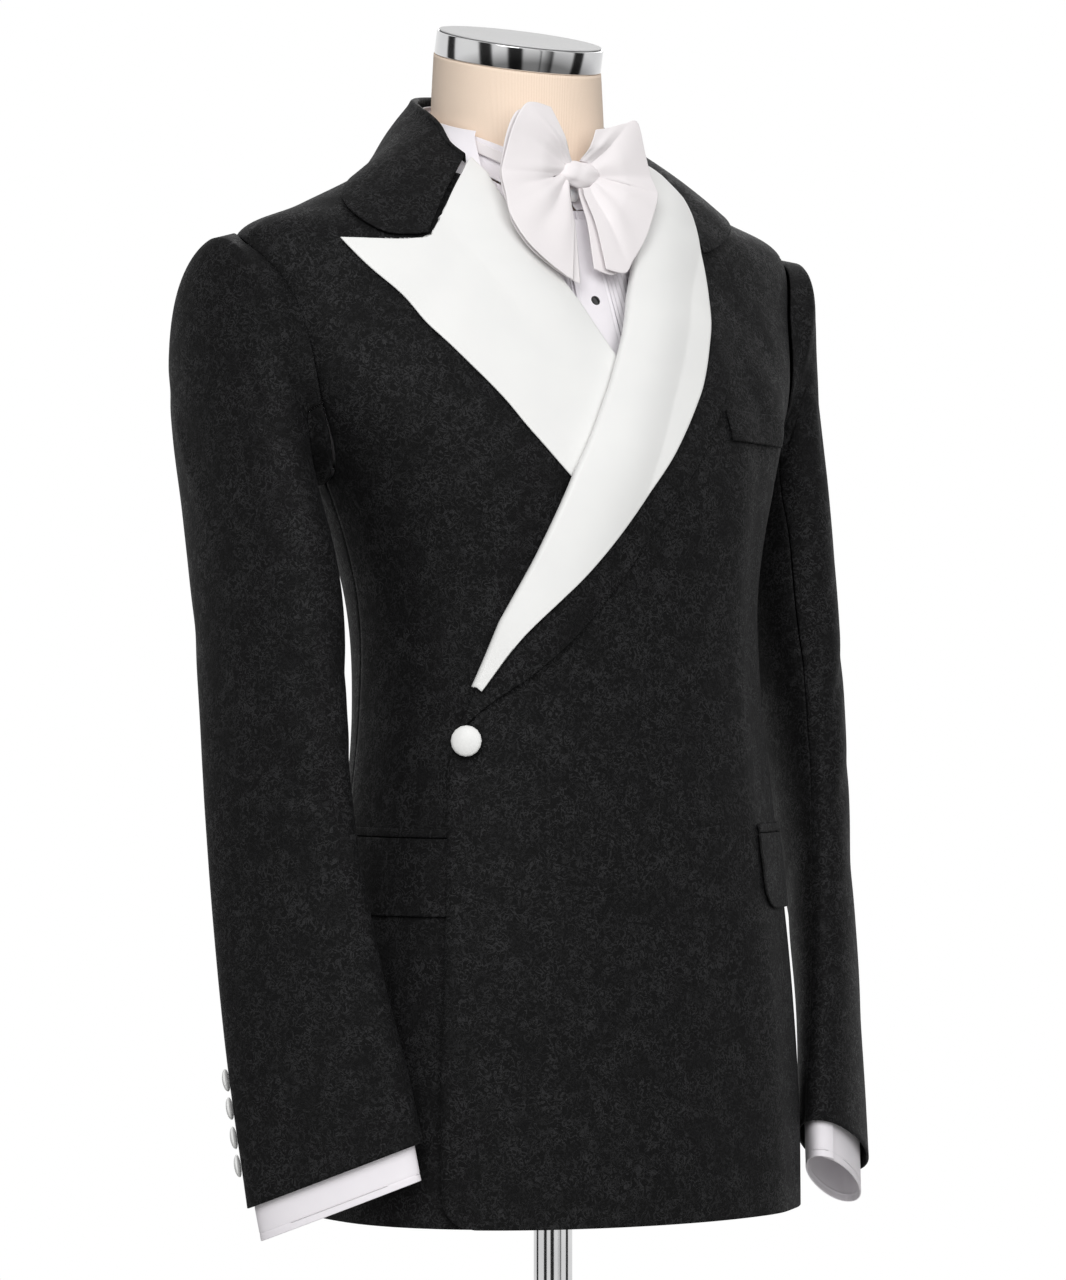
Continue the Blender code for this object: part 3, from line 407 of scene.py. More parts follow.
CHROME = metal_finish("polished chrome plate", "#dcdcdc", "#c4c4c6", 60, 0.09)
ROSE_STEEL = metal_finish("rose steel rim", "#c4a79d", "#98796f", 8, 0.18)
PLATE = hard_finish("satin grey enamel", "#d2d2d2", "#cacaca", 1.5, 0.60, 0.0, 0.1)
PEARL = hard_finish("mother of pearl", "#f1eeec", "#dfe3e8", 2.5, 0.22, 0.6)
ONYX = hard_finish("black onyx", "#0b0b0c", "#161617", 2.0, 0.10, 0.8)
print("finishes:", CHROME.name, PLATE.name, PEARL.name, ONYX.name)

# %% [markdown]
# ## Cloth
# Real tailoring is flat cloth, cut and pressed to shape. Here a grid stands for the flat
# cloth: its corners are laid on the body's curves, a finer grid is smoothed through them,
# drag lines and folds push it in or out, and a solidify step gives it a wall.

# %% Soft creases
# Each crease on the body: where it starts and ends, in degrees round the body and height,
# half its width in millimetres, and how far it stands out (or in, below 0) in millimetres.
BODY_CREASES = (
    (-57, 1.003, -20, 0.968, 11, -1.2), (-55, 0.996, -24, 0.940, 13, 0.9),
    (-52, 0.985, -30, 0.905, 15, -0.9), (-62, 1.018, -84, 1.060, 12, -1.1),
    (-64, 1.000, -88, 1.012, 13, 1.0), (-62, 0.985, -86, 0.960, 14, -1.0),
    (-70, 1.330, -80, 1.205, 12, -1.3), (-64, 1.300, -72, 1.190, 14, 0.9),
    (70, 1.320, 80, 1.200, 12, -1.3), (63, 1.290, 72, 1.180, 14, 0.9),
    (-30, 0.860, -8, 0.700, 22, 1.2), (20, 0.900, 28, 0.690, 26, -1.3),
    (52, 0.930, 60, 0.690, 24, 1.3), (-84, 0.900, -92, 0.690, 22, -1.2),
    (84, 1.060, 60, 1.020, 13, -1.1), (88, 1.020, 66, 0.985, 15, 0.8),
    (150, 1.040, 178, 1.020, 14, -1.3), (-152, 1.030, -176, 1.046, 14, -1.2),
    (146, 1.075, 176, 1.066, 15, 1.0), (-140, 1.230, -168, 1.190, 18, -1.2),
    (138, 1.240, 170, 1.195, 18, -1.2), (128, 0.900, 136, 0.700, 26, 1.3),
    (-130, 0.890, -138, 0.700, 24, -1.3), (165, 0.880, 170, 0.700, 24, 1.0),
    (-40, 0.800, -36, 0.690, 20, -0.8), (2, 0.800, 6, 0.690, 24, 0.9),
)
METRES_PER_DEGREE = 0.0026


def body_creases(points):
    """How far the creases push these points out."""
    turn = np.degrees(np.arctan2(points[..., 0], -points[..., 1]))
    out = np.zeros(points.shape[:-1])
    for turn_1, height_1, turn_2, height_2, half_mm, push_mm in BODY_CREASES:
        run = np.array(((turn_2 - turn_1) * METRES_PER_DEGREE, height_2 - height_1))
        offset = np.stack(((turn - turn_1) * METRES_PER_DEGREE, points[..., 2] - height_1), -1)
        part = np.clip(offset @ run / (run @ run), 0, 1)
        away = np.linalg.norm(offset - part[..., None] * run, axis=-1) / (half_mm * MM)
        out += push_mm * MM * np.exp(-away**2) * (0.55 + 0.45 * np.sin(np.pi * np.clip(part, 0.05, 0.95)))
    return out


print(len(BODY_CREASES), "creases on the body")


# %% [markdown]
# The helper below is the heart of the lesson. It starts from a flat bmesh grid, moves each
# corner to its place, keeps the cloth's own lengths as a UV map in metres, adds the wall
# with bmesh's solidify and softens the cut edges with a small bevel.

# %% The cloth helper
def refined(rows, across, along):
    """A finer grid, smoothed through rows of points."""
    rows = np.asarray(rows, float)
    fine = smooth(rows, np.linspace(0, len(rows) - 1, along + 1))
    columns = smooth(fine.transpose(1, 0, 2), np.linspace(0, rows.shape[1] - 1, across + 1))
    return columns.transpose(1, 0, 2)


def surface_normals(points, flip):
    sideways, upwards = np.gradient(points, axis=1), np.gradient(points, axis=0)
    return unit(np.cross(sideways, upwards)) * (-1 if flip else 1)


def grid_mesh(points, closed=False):
    """A bmesh grid whose corners are moved to these points, with its lengths as its UV map."""
    rows, columns = points.shape[:2]
    made = bmesh.new()
    bmesh.ops.create_grid(made, x_segments=columns - 1, y_segments=rows - 1, size=0.5)
    made.verts.ensure_lookup_table()
    uv_layer = made.loops.layers.uv.new("UVMap")
    middle_row = np.linalg.norm(np.diff(points[rows // 2], axis=0), axis=1)
    middle_column = np.linalg.norm(np.diff(points[:, columns // 2], axis=0), axis=1)
    run = np.concatenate(((0,), np.cumsum(middle_row)))
    rise = np.concatenate(((0,), np.cumsum(middle_column)))
    for face in made.faces:
        face.smooth = True
        for loop in face.loops:
            row, column = divmod(loop.vert.index, columns)
            loop[uv_layer].uv = (run[column], rise[row])
    flat = points.reshape(-1, 3)
    for vertex in made.verts:
        vertex.co = flat[vertex.index]
    if closed:
        bmesh.ops.remove_doubles(made, verts=made.verts, dist=0.00002)
    return made


def finish_piece(name, made, look, nodes):
    """A finished bmesh becomes a piece that stands for these solids."""
    mesh = bpy.data.meshes.new(name)
    made.to_mesh(mesh)
    made.free()
    mesh.materials.append(look)
    mesh.calc_loop_triangles()
    piece = bpy.data.objects.new(name, mesh)
    bpy.context.scene.collection.objects.link(piece)
    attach(piece, "root")
    if nodes:
        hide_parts(*nodes)
    return piece


def cloth(name, points, wall, look, nodes, flip=False, edge=0.35 * MM, closed=False):
    """A wall of cloth whose inner face is this grid of points. Solidify moves each corner by
    its faces' average, so the inner face is then laid on its own points by the corner's number."""
    points = np.asarray(points, float)
    outer = points + surface_normals(points, flip) * wall
    made = grid_mesh(outer, closed)
    if flip:
        bmesh.ops.reverse_faces(made, faces=made.faces)
    made.normal_update()
    corner = made.verts.layers.int.new("corner")
    for vertex in made.verts:
        vertex[corner] = vertex.index
    count = len(made.verts)
    bmesh.ops.solidify(made, geom=made.faces[:], thickness=wall)
    made.verts.index_update()
    inner = points.reshape(-1, 3)
    for vertex in made.verts:
        if vertex.index >= count:
            vertex.co = inner[vertex[corner]]
    made.normal_update()
    sharp = [e for e in made.edges if e.is_manifold and e.calc_face_angle() > 0.9]
    if edge:
        bmesh.ops.bevel(
            made, geom=sharp, offset=edge, segments=1, profile=0.5, affect="EDGES", material=-1,
        )
    for face in made.faces:
        face.smooth = True
    piece = finish_piece(name, made, look, nodes)
    return piece


# %% [markdown]
# ## The jacket's fronts and backs
# Each front runs from its edge, or from its roll line above the button, round to the side
# seam. The wrap puts the left front's edge far over on the wearer's right, so that front is
# lifted where it passes over the other one.

# %% Edges of the fronts
# height, and how far round the front ends, in degrees on its own side
FRONT_EDGE = np.array((
    (HEM_HEIGHT, -59), (0.760, -60), (0.850, -61), (0.940, -63), (0.990, -64), (1.015, -62),
    (1.0434, -57), (1.0913, -48), (1.1353, -37), (1.1920, -24), (1.2400, -10), (1.2752, 1),
    (1.3126, 12), (1.3455, 24), (1.3785, 38), (1.4016, 48), (1.4200, 62),
))


HEM_SEAM = 112.0  # where the side seam meets the hem, in degrees from the front


def edge_around(height):
    return np.interp(height, FRONT_EDGE[:, 0], FRONT_EDGE[:, 1])


def edge_on_line(line, side):
    height = smooth(GIRTHS[:, 0], line)
    for _ in range(12):
        height = mixed(height, body_point(edge_around(height) * side, line)[..., 2], 0.6)
    corner = np.maximum(0.0, 1 - (height - HEM_HEIGHT) / 0.020)
    return edge_around(height) + 7.0 * (1 - np.sqrt(1 - corner**2))


def armhole_reach(line):
    part = (smooth(GIRTHS[:, 0], line) - ARMHOLE_BOTTOM) / (SHOULDER_TIP - ARMHOLE_BOTTOM)
    inside = np.clip(part, 0, 1)
    return ARMHOLE_HALF_ANGLE * (4 * inside * (1 - inside)) ** 0.45


def seam_around(line):
    return mixed(HEM_SEAM, ARMHOLE_MIDDLE, eased(np.asarray(line) / CHEST_LINE))


def seam_gap(line):
    return np.degrees(SEAM_HALF_GAP / smooth(GIRTHS[:, 1], line))


def left_over(around, height):
    """How far the left front stands out, where it lies over the right one."""
    over_front = LEFT_OVER * (1 - eased((around - 66) / 12))
    over_lapel = LEFT_OVER_LAPEL * (1 - eased((around - 40) / 14))
    return (over_front + over_lapel) * (1 - eased((height - 1.285) / 0.05))


def creased(points, flip=False):
    """These points, pushed out by the body's creases."""
    return points + surface_normals(points, flip) * body_creases(points)[..., None]


# %% The fronts and the backs
LINES = np.concatenate((np.linspace(0, 0.8, 25), np.linspace(0.8, 8, 97)[1:], np.linspace(8, 11.3, 53)[1:]))
for name, side in (("left", 1), ("right", -1)):
    front, back = [], []
    for line in LINES:
        inner, outer = edge_on_line(line, side), seam_around(line) - armhole_reach(line) - seam_gap(line)
        around = np.linspace(inner, outer, 97)
        lift = left_over(around, body_point(around * side, line)[..., 2]) if side > 0 else 0 * around
        front.append(on_body(around * side, line, lift))
        inner = seam_around(line) + armhole_reach(line) + seam_gap(line)
        back.append(on_body(np.linspace(inner, 180 - seam_gap(line), 57) * side, line, 0.0))
    flip = side < 0
    cloth(
        "front_" + name, creased(np.array(front), flip), PANEL_WALL, BLACK_JACQUARD,
        ["jacket_front_" + name], flip,
    )
    cloth(
        "back_" + name, creased(np.array(back), flip), PANEL_WALL, BLACK_JACQUARD,
        ["jacket_back_" + name], flip,
    )

# %% [markdown]
# ## The lapels
# A lapel is the front's own edge, turned back along the roll line. It isn't pressed flat: it
# leaves the chest in a soft roll. So a facing stands out over the roll and comes down to its
# outer edge. The two white ones start with a small half circle round the front's edge.

# %% Lapel tables
# A row for each station down the roll line: its height, and the outer edge's place
RIGHT_LAPEL = np.array((
    (1.4120, 76, 1.3535), (1.4016, 70.5, 1.3330), (1.3785, 64, 1.3127), (1.3455, 59, 1.2930),
    (1.3126, 53, 1.2740), (1.2752, 43, 1.2440), (1.2400, 35, 1.2180), (1.1920, 20, 1.1780),
    (1.1353, -5, 1.1250),
))
LEFT_LAPEL = np.array((
    (1.4120, 61, 1.3524), (1.4016, 60, 1.3350), (1.3785, 58, 1.3180), (1.3455, 53, 1.2960),
    (1.3126, 46, 1.2700), (1.2752, 36, 1.2360), (1.2400, 24, 1.2040), (1.1920, 5, 1.1600),
    (1.1353, -18, 1.1030), (1.0913, -38, 1.0620), (1.0434, -54, 1.0340), (1.0230, -61, 1.0170),
))
SHAWL = np.array((
    (1.4120, 59, 1.3860), (1.4016, 56.5, 1.3690), (1.3785, 52.5, 1.3520), (1.3455, 48, 1.3230),
    (1.3126, 40, 1.2887), (1.2752, 28.5, 1.2467), (1.2400, 13, 1.2073), (1.1920, -2, 1.1747),
    (1.1353, -24, 1.1240), (1.0913, -43, 1.0819), (1.0470, -55, 1.0440),
))
# where the top edge bends at the notch, and how far along the top edge that is
RIGHT_NOTCH, LEFT_NOTCH, SHAWL_TOP = (60, 1.3520, 0.55), (53, 1.3461, 0.75), (58, 1.3990, 0.50)


ROLL_HEIGHT, ROLL_DEGREES = 4 * MM, 26.0


def roll_puff(own, height, lowest):
    """How far a lapel stands out over its roll, fading to nothing at its lowest point."""
    inside = np.clip((own - edge_around(height)) / ROLL_DEGREES, 0, 1)
    return ROLL_HEIGHT * np.sin(np.pi * inside) * eased((height - lowest) / 0.05)


# %% The lapel helper
def lapel(table, notch, side, layer, puff_lowest, turn_in):
    """A grid from the roll line to the outer edge, after a half circle round the front's edge."""
    notch_around, notch_height, notch_part = notch
    bend_around = notch_around - mixed(edge_around(table[0, 0]), table[0, 1], notch_part)
    bend_height = notch_height - mixed(table[0, 0], table[0, 2], notch_part)
    parts = np.unique(np.concatenate((np.linspace(0, notch_part, 25), np.linspace(notch_part, 1, 21))))
    rows = []
    for station in np.linspace(0, len(table) - 1, 145):
        roll, outer_around, outer_height = smooth(table, station)
        fade = max(0.0, 1 - station / 2) ** 1.5
        tent = np.minimum(parts / notch_part, (1 - parts) / (1 - notch_part))
        own = mixed(edge_around(roll), outer_around, parts) + fade * tent * bend_around
        height = mixed(roll, outer_height, parts) + fade * tent * bend_height
        over = left_over(own, height) if side > 0 else 0 * own
        lift = layer + over + roll_puff(own, height, puff_lowest)
        row = at_height(own * side, height, lift)
        if turn_in:
            turns = np.linspace(math.pi, 0, 8)[:-1]
            beyond = np.degrees(turn_in * np.sin(turns) / BODY_RADIUS)
            depth = layer * (0.5 + 0.5 * np.cos(turns)) + over[0]
            row = np.concatenate((at_height((own[0] - beyond) * side, roll + 0 * turns, depth), row))
        rows.append(row)
    return creased(np.array(rows), side > 0)


# %% The three facings
cloth(
    "lapel_right", lapel(RIGHT_LAPEL, RIGHT_NOTCH, -1, FIRST_LAYER, 1.270, 1.6 * MM), FACING_WALL,
    WHITE_SATIN, ["lapel_right_white"],
)
cloth(
    "lapel_left", lapel(LEFT_LAPEL, LEFT_NOTCH, 1, FIRST_LAYER, 1.030, 0), FACING_WALL, BLACK_JACQUARD,
    ["lapel_left_black"], True,
)
cloth(
    "shawl_left", lapel(SHAWL, SHAWL_TOP, 1, SHAWL_LAYER, 1.030, 2.6 * MM), FACING_WALL, WHITE_SATIN,
    ["shawl_left_white"], True,
)

# %% [markdown]
# ## The sleeves
# A tailored sleeve is two pieces, a wide top sleeve and a narrow under sleeve, eased into
# the armhole so that the head stands proud. It hangs straight, then comes forward below the
# elbow, with shallow drag lines at the elbow and near the wrist.

# %% Sleeve tables
# outer x and z, under x and z, middle y, half depth, front's turn inwards, front's rise
SLEEVE = np.array((
    (0.2230, 1.3590, 0.1800, 1.1860, 0.045, 0.056, 0, 0.00),
    (0.2430, 1.3540, 0.1800, 1.1820, 0.053, 0.0585, 2, 0.00),
    (0.2505, 1.3350, 0.1800, 1.1740, 0.062, 0.0650, 4, 0.01),
    (0.2525, 1.3000, 0.1800, 1.1640, 0.063, 0.0680, 6, 0.04),
    (0.2525, 1.2500, 0.1805, 1.1480, 0.057, 0.0670, 7, 0.09),
    (0.2505, 1.1950, 0.1820, 1.1200, 0.046, 0.0670, 7, 0.13),
    (0.2495, 1.1300, 0.1870, 1.0750, 0.030, 0.0630, 12, 0.17),
    (0.2485, 1.0600, 0.1940, 1.0200, 0.0145, 0.0600, 18, 0.20),
    (0.2476, 0.9850, 0.1985, 0.9550, 0.001, 0.0575, 25, 0.23),
    (0.2447, 0.9050, 0.1975, 0.8850, -0.0125, 0.0570, 32, 0.28),
    (0.2395, 0.8200, 0.1935, 0.8080, -0.0300, 0.0585, 40, 0.33),
    (0.2300, 0.7195, 0.1840, 0.7195, -0.0486, 0.0605, 47, 0.39),
))
SLEEVE_END = len(SLEEVE) - 1
FRONT_SEAM, BACK_SEAM = 112.0, 258.0
# Each crease: its ring and turn, how far it runs along and round, half its width in rings,
# and how far it stands out in millimetres
SLEEVE_CREASES = (
    (7.2, 60, 0.5, 50, 0.20, -1.7), (7.7, 75, -0.4, 60, 0.22, 1.2), (8.2, 50, 0.5, 55, 0.22, -1.5),
    (6.5, 95, 0.5, 45, 0.22, -1.4), (8.8, 20, -0.5, 60, 0.25, -1.1), (9.5, 70, 0.6, 50, 0.25, -1.2),
    (10.2, -20, -0.4, 55, 0.25, -1.0), (3.6, 40, 1.2, 30, 0.30, -1.1), (4.6, -30, 1.3, 25, 0.35, 1.0),
    (2.9, 100, 0.8, 28, 0.20, -1.3), (5.6, 10, 1.0, 30, 0.32, -1.0), (7.0, 200, 0.4, 60, 0.22, -1.5),
    (8.0, 210, -0.4, 60, 0.22, 1.2), (9.0, 190, 0.5, 60, 0.24, -1.2), (3.2, -60, 1.0, 30, 0.28, -1.1),
    (10.4, 90, 0.3, 45, 0.20, 0.9), (6.2, -70, 0.6, 40, 0.28, -1.0), (5.8, 126, 0.0, 58, 1.5, 7.6),
)


def sleeve_point(ring, turn, inwards=0.0):
    """A point of the left sleeve: turn 0 is its outer side, 90 the front, 180 the inner side."""
    ring, turn = np.broadcast_arrays(np.asarray(ring, float), np.radians(turn))
    row = smooth(SLEEVE, ring)
    outer_x, outer_z, under_x, under_z = (row[..., k] for k in range(4))
    middle_y, half_depth, front_turn, front_lift = (row[..., k] for k in range(4, 8))
    half_x, half_z = (outer_x - under_x) / 2 - inwards, (outer_z - under_z) / 2
    depth, spin = half_depth - inwards, np.radians(front_turn)
    outwards = np.stack((half_x * np.cos(spin), -half_x * np.sin(spin), half_z), -1)
    forwards = np.stack((-depth * np.sin(spin), -depth * np.cos(spin), depth * front_lift), -1)
    middle = np.stack(((outer_x + under_x) / 2, middle_y, (outer_z + under_z) / 2), -1)
    return middle + outwards * np.cos(turn)[..., None] + forwards * np.sin(turn)[..., None]


def armhole_point(turn):
    angle = np.radians(turn)
    height = mixed(ARMHOLE_BOTTOM, SHOULDER_TIP, 0.5 + 0.5 * np.cos(angle))
    around = ARMHOLE_MIDDLE - (ARMHOLE_HALF_ANGLE + 0.6) * np.sin(angle)
    return at_height(around, height, PANEL_WALL + 1.5 * LAYER_GAP)


# %% The sleeve helper
def sleeve_creases(ring, turn):
    out = 0 * (ring + turn)
    for ring_0, turn_0, along, around, half, push_mm in SLEEVE_CREASES:
        near = (turn - turn_0 + 180) % 360 - 180
        part = near / around
        away = (ring - ring_0 - along * part) / half
        out = out + push_mm * MM * np.exp(-away**2) * np.exp(-(1.3 * part) ** 2)
    return out


def sleeve_grid(first_turn, last_turn, columns):
    turns = np.linspace(first_turn, last_turn, columns)
    rings = np.concatenate((np.linspace(1, 2.6, 25), np.linspace(2.6, SLEEVE_END, 121)[1:]))
    low = np.array([sleeve_point(ring, turns, PANEL_WALL) for ring in rings])
    pushes = np.array([sleeve_creases(ring, turns) * eased((ring - 1.5) / 1.5) for ring in rings])
    low = low + surface_normals(low, False) * pushes[..., None]
    start = armhole_point(turns)
    blend = [mixed(start, low[0], part) for part in (0, 0.2, 0.4, 0.6, 0.8)]
    return np.concatenate((np.array(blend), low))


def to_side(points, side):
    return points * np.array((side, 1, 1))


# %% The sleeves
SLEEVE_SEAM = 0.3  # half the gap at a sleeve's seam, in degrees round the sleeve
for name, side in (("left", 1), ("right", -1)):
    for piece, first, last, columns in (
        ("sleeve_top_", BACK_SEAM - 360, FRONT_SEAM, 89), ("sleeve_under_", FRONT_SEAM, BACK_SEAM, 53),
    ):
        points = to_side(sleeve_grid(first + SLEEVE_SEAM, last - SLEEVE_SEAM, columns), side)
        cloth(
            piece + name + "_cloth", points, PANEL_WALL, BLACK_JACQUARD, [piece + name],
            side < 0,
        )

# %% [markdown]
# ## The shirt's cuffs and the sleeve's buttons
# 24 mm of the barrel cuff shows below the sleeve, its end lapped over. Four covered buttons sit
# in a row along the back of each sleeve, their edges little more than 1 mm apart.

# %% Cuffs
CUFF_SHOWS, CUFF_LENGTH, CUFF_INSIDE, CUFF_OVERLAP = 0.024, 0.054, 0.006, 0.0026
CUFF_TURNS = {"left": (60.0, 442.0), "right": (262.0, 644.0)}
STITCH_FROM_EDGE, STITCH_HALF, STITCH_DEPTH = 5 * MM, 0.7 * MM, 0.35 * MM
hidden_rows = np.linspace(CUFF_SHOWS - CUFF_LENGTH, 0.016, 12)
shown_rows = np.linspace(0.0165, CUFF_SHOWS, 16)
for name, side in (("left", 1), ("right", -1)):
    down = sleeve_point(SLEEVE_END, 0) + sleeve_point(SLEEVE_END, 180)
    down = unit(down - sleeve_point(SLEEVE_END - 0.5, 0) - sleeve_point(SLEEVE_END - 0.5, 180))
    parts = np.linspace(0, 1, 121)
    turns = mixed(*CUFF_TURNS[name], parts)
    inside = CUFF_INSIDE + CUFF_OVERLAP * parts
    rows = []
    for beyond in (*hidden_rows, *shown_rows):
        stitch = STITCH_DEPTH * math.exp(-((beyond - CUFF_SHOWS + STITCH_FROM_EDGE) / STITCH_HALF) ** 2)
        rows.append(sleeve_point(SLEEVE_END, turns, inside + stitch) + down * beyond)
    cloth(
        "cuff_" + name, to_side(np.array(rows), side), SHIRT_WALL, WHITE_POPLIN,
        ["shirt_cuff_" + name], side < 0,
    )


# %% Covered buttons
def standing(point, normal):
    turn = Vector(normal).to_track_quat("Z", "Y").to_matrix().to_4x4()
    return Matrix.Translation(Vector(point)) @ turn


def covered_button(name, node, radius, height, shank, place, look, rim=0.35):
    """A dome of cloth over a flat back, with a slight pucker where it turns under."""
    made = bmesh.new()
    bmesh.ops.create_uvsphere(made, u_segments=48, v_segments=32, radius=1)
    for vertex in made.verts:
        x, y, z = vertex.co
        flat = math.hypot(x, y)
        dome = max(0.0, 1 - flat**2) ** 0.5
        pucker = 1 + 0.012 * math.cos(16 * math.atan2(y, x)) * (1 - abs(z)) * flat
        up = rim * height
        if z > 0:
            up += (1 - rim) * height * dome
        elif z < 0:
            up *= 1 - dome**0.7
        vertex.co = (x * radius * pucker, y * radius * pucker, up)
    if shank:
        thin = 0.4 * radius
        neck = bmesh.ops.create_cone(
            made, cap_ends=True, segments=24, radius1=thin, radius2=thin, depth=shank,
        )
        bmesh.ops.translate(made, verts=neck["verts"], vec=(0, 0, -shank / 2))
    for face in made.faces:
        face.smooth = True
    bmesh.ops.transform(made, matrix=place, verts=made.verts)
    return finish_piece(name, made, look, [node])


def sleeve_normal(ring, turn):
    along = sleeve_point(ring + 0.05, turn) - sleeve_point(ring - 0.05, turn)
    sideways = sleeve_point(ring, turn + 1) - sleeve_point(ring, turn - 1)
    return unit(np.cross(sideways, along))


CUFF_BUTTON_RADIUS, CUFF_BUTTON_TALL, CUFF_BUTTON_TURN = 0.0076, 0.0040, -88.0
CUFF_BUTTON_RINGS = (10.13, 10.30, 10.47, 10.64)
for name, side in (("left", 1), ("right", -1)):
    for number, ring in enumerate(CUFF_BUTTON_RINGS, 1):
        normal = sleeve_normal(ring, CUFF_BUTTON_TURN)
        base = sleeve_point(ring, CUFF_BUTTON_TURN) + normal * BUTTON_GAP
        covered_button(
            f"sleeve_button_{name}_{number}", f"cuff_button_{name}_{number}", CUFF_BUTTON_RADIUS,
            CUFF_BUTTON_TALL, 0, standing(to_side(base, side), to_side(normal, side)), WHITE_SATIN,
        )

WAIST_BUTTON_RADIUS, WAIST_BUTTON_TALL, WAIST_BUTTON_SHANK = 0.0105, 0.0058, 2.2 * MM
WAIST_BUTTON_TURN, WAIST_BUTTON_HEIGHT = -59.0, 1.0105
button_lift = LEFT_OVER + LEFT_OVER_LAPEL + FIRST_LAYER + FACING_WALL + BUTTON_GAP
button_line = float(line_at(WAIST_BUTTON_TURN, WAIST_BUTTON_HEIGHT))
button_base = on_body(WAIST_BUTTON_TURN, button_line, button_lift)
button_normal = unit(button_base - on_body(WAIST_BUTTON_TURN, button_line, 0.0))
covered_button(
    "waist_button", "front_button", WAIST_BUTTON_RADIUS, WAIST_BUTTON_TALL, WAIST_BUTTON_SHANK,
    standing(button_base, button_normal), WHITE_SATIN,
)
print("covered buttons: 8 on the sleeves and 1 at the waist")


# %% [markdown]
# ## The collars
# The jacket's collar stands up inside, folds over and falls to the gorge, where it meets the
# lapels. The shirt's turned-down leaf sits just inside it, over a stand that closes at the
# throat. A collar is one strip: its section is worked out in a few directions round the neck
# and smoothed between them.

# %% Collar tables
# direction, fold's radius and height, and the outer edge's direction and height
COLLAR_BACK = (
    (115, 0.0740, 1.4580, 120, 1.4160), (145, 0.0745, 1.4645, 148, 1.4180),
    (180, 0.0755, 1.4680, 180, 1.4180),
)
COLLAR_RIGHT = np.array((
    (57.5, 0.0888, 1.4160, 60.8, 1.3570), (67, 0.0850, 1.4255, 69.5, 1.3575),
    (77, 0.0780, 1.4380, 83, 1.3830), (90, 0.0755, 1.4480, 97, 1.4050), *COLLAR_BACK,
))
COLLAR_LEFT = np.array((
    (57.5, 0.0888, 1.4160, 54.5, 1.3505), (67, 0.0850, 1.4235, 62, 1.3570),
    (77, 0.0790, 1.4350, 83, 1.3830), (90, 0.0755, 1.4430, 97, 1.4040), *COLLAR_BACK,
))
LEAF = np.array((
    (57, 0.0695, 1.4337, 43, 1.3880), (69, 0.0685, 1.4365, 60, 1.4020), (90, 0.0674, 1.4430, 89, 1.4225),
    (115, 0.0670, 1.4525, 115, 1.4260), (145, 0.0668, 1.4590, 145, 1.4320),
    (180, 0.0666, 1.4620, 180, 1.4360),
))
# direction, top height, top radius, and the middle of the tie's band
STAND = np.array((
    (1, 1.4080, 0.0645, 1.4005), (30, 1.4180, 0.0648, 1.4085), (60, 1.4310, 0.0650, 1.4245),
    (90, 1.4400, 0.0650, 1.4345), (115, 1.4495, 0.0648, 1.4410), (145, 1.4560, 0.0646, 1.4480),
    (180, 1.4585, 0.0645, 1.4525),
))


def neck_point(around, radius, height):
    angle = math.radians(float(around))
    return np.array((radius * math.sin(angle), NECK_CENTRE_Y - radius * math.cos(angle), float(height)))


def neck_radius(point):
    return math.hypot(point[0], point[1] - NECK_CENTRE_Y)


def with_rows_between(table):
    """A table's rows, with one more smoothed in between each two."""
    return smooth(table, np.linspace(0, len(table) - 1, 2 * len(table) - 1))


# %% Collar helpers
def fold_section(row, lift, bulge, shoulder, foot):
    """From the outer edge up to the fold, and down to the foot inside it."""
    around, radius, height, edge_turn, edge_height = row
    edge = at_height(edge_turn, edge_height, lift)
    from_around = math.degrees(math.atan2(edge[0], NECK_CENTRE_Y - edge[1]))
    shoulder_height = height - 4 * MM
    section = []
    for part in (0, 0.25, 0.5, 0.75, 1):
        turn, level = mixed(from_around, around, part), mixed(edge[2], shoulder_height, part)
        out = mixed(neck_radius(edge), radius + shoulder, part) + bulge * math.sin(math.pi * part)
        if level < on_body(turn, NECK_LINE, lift)[2]:
            out = max(out, neck_radius(at_height(turn, level, lift)))
        section.append(neck_point(turn, out, level))
    section.append(neck_point(around, radius, height))
    if foot is not None:
        section.append(neck_point(around, radius - shoulder / 2, shoulder_height))
        section.append(foot)
    return np.array(section)


def collar_sections(table):
    sections = []
    for row in with_rows_between(table):
        neckline = body_point(row[0], NECK_LINE)
        foot_height = min(neckline[2] + 1.6 * MM, row[2] - 5 * MM)
        foot = neck_point(row[0], max(neck_radius(neckline), row[1] - 1.3 * MM), foot_height)
        sections.append(fold_section(row, FIRST_LAYER + 0.8 * MM, 3.0 * MM, 2.6 * MM, foot))
    return sections


def around_the_neck(left, right):
    mirrored = [to_side(section, -1) for section in right[-2::-1]]
    return np.array(left + mirrored).transpose(1, 0, 2)


# %% The jacket's collar, the leaf, the stand and the tie's band
collar = around_the_neck(collar_sections(COLLAR_LEFT), collar_sections(COLLAR_RIGHT))
cloth(
    "collar", refined(collar, 200, 42), PANEL_WALL, BLACK_JACQUARD, ["jacket_collar"],
)

leaf = [fold_section(row, LEAF_DEPTH, 0.7 * MM, 2.0 * MM, None) for row in with_rows_between(LEAF)]
cloth(
    "collar_leaf", refined(around_the_neck(leaf, leaf), 160, 24), SHIRT_WALL, WHITE_POPLIN,
    ["shirt_collar_leaf"],
)

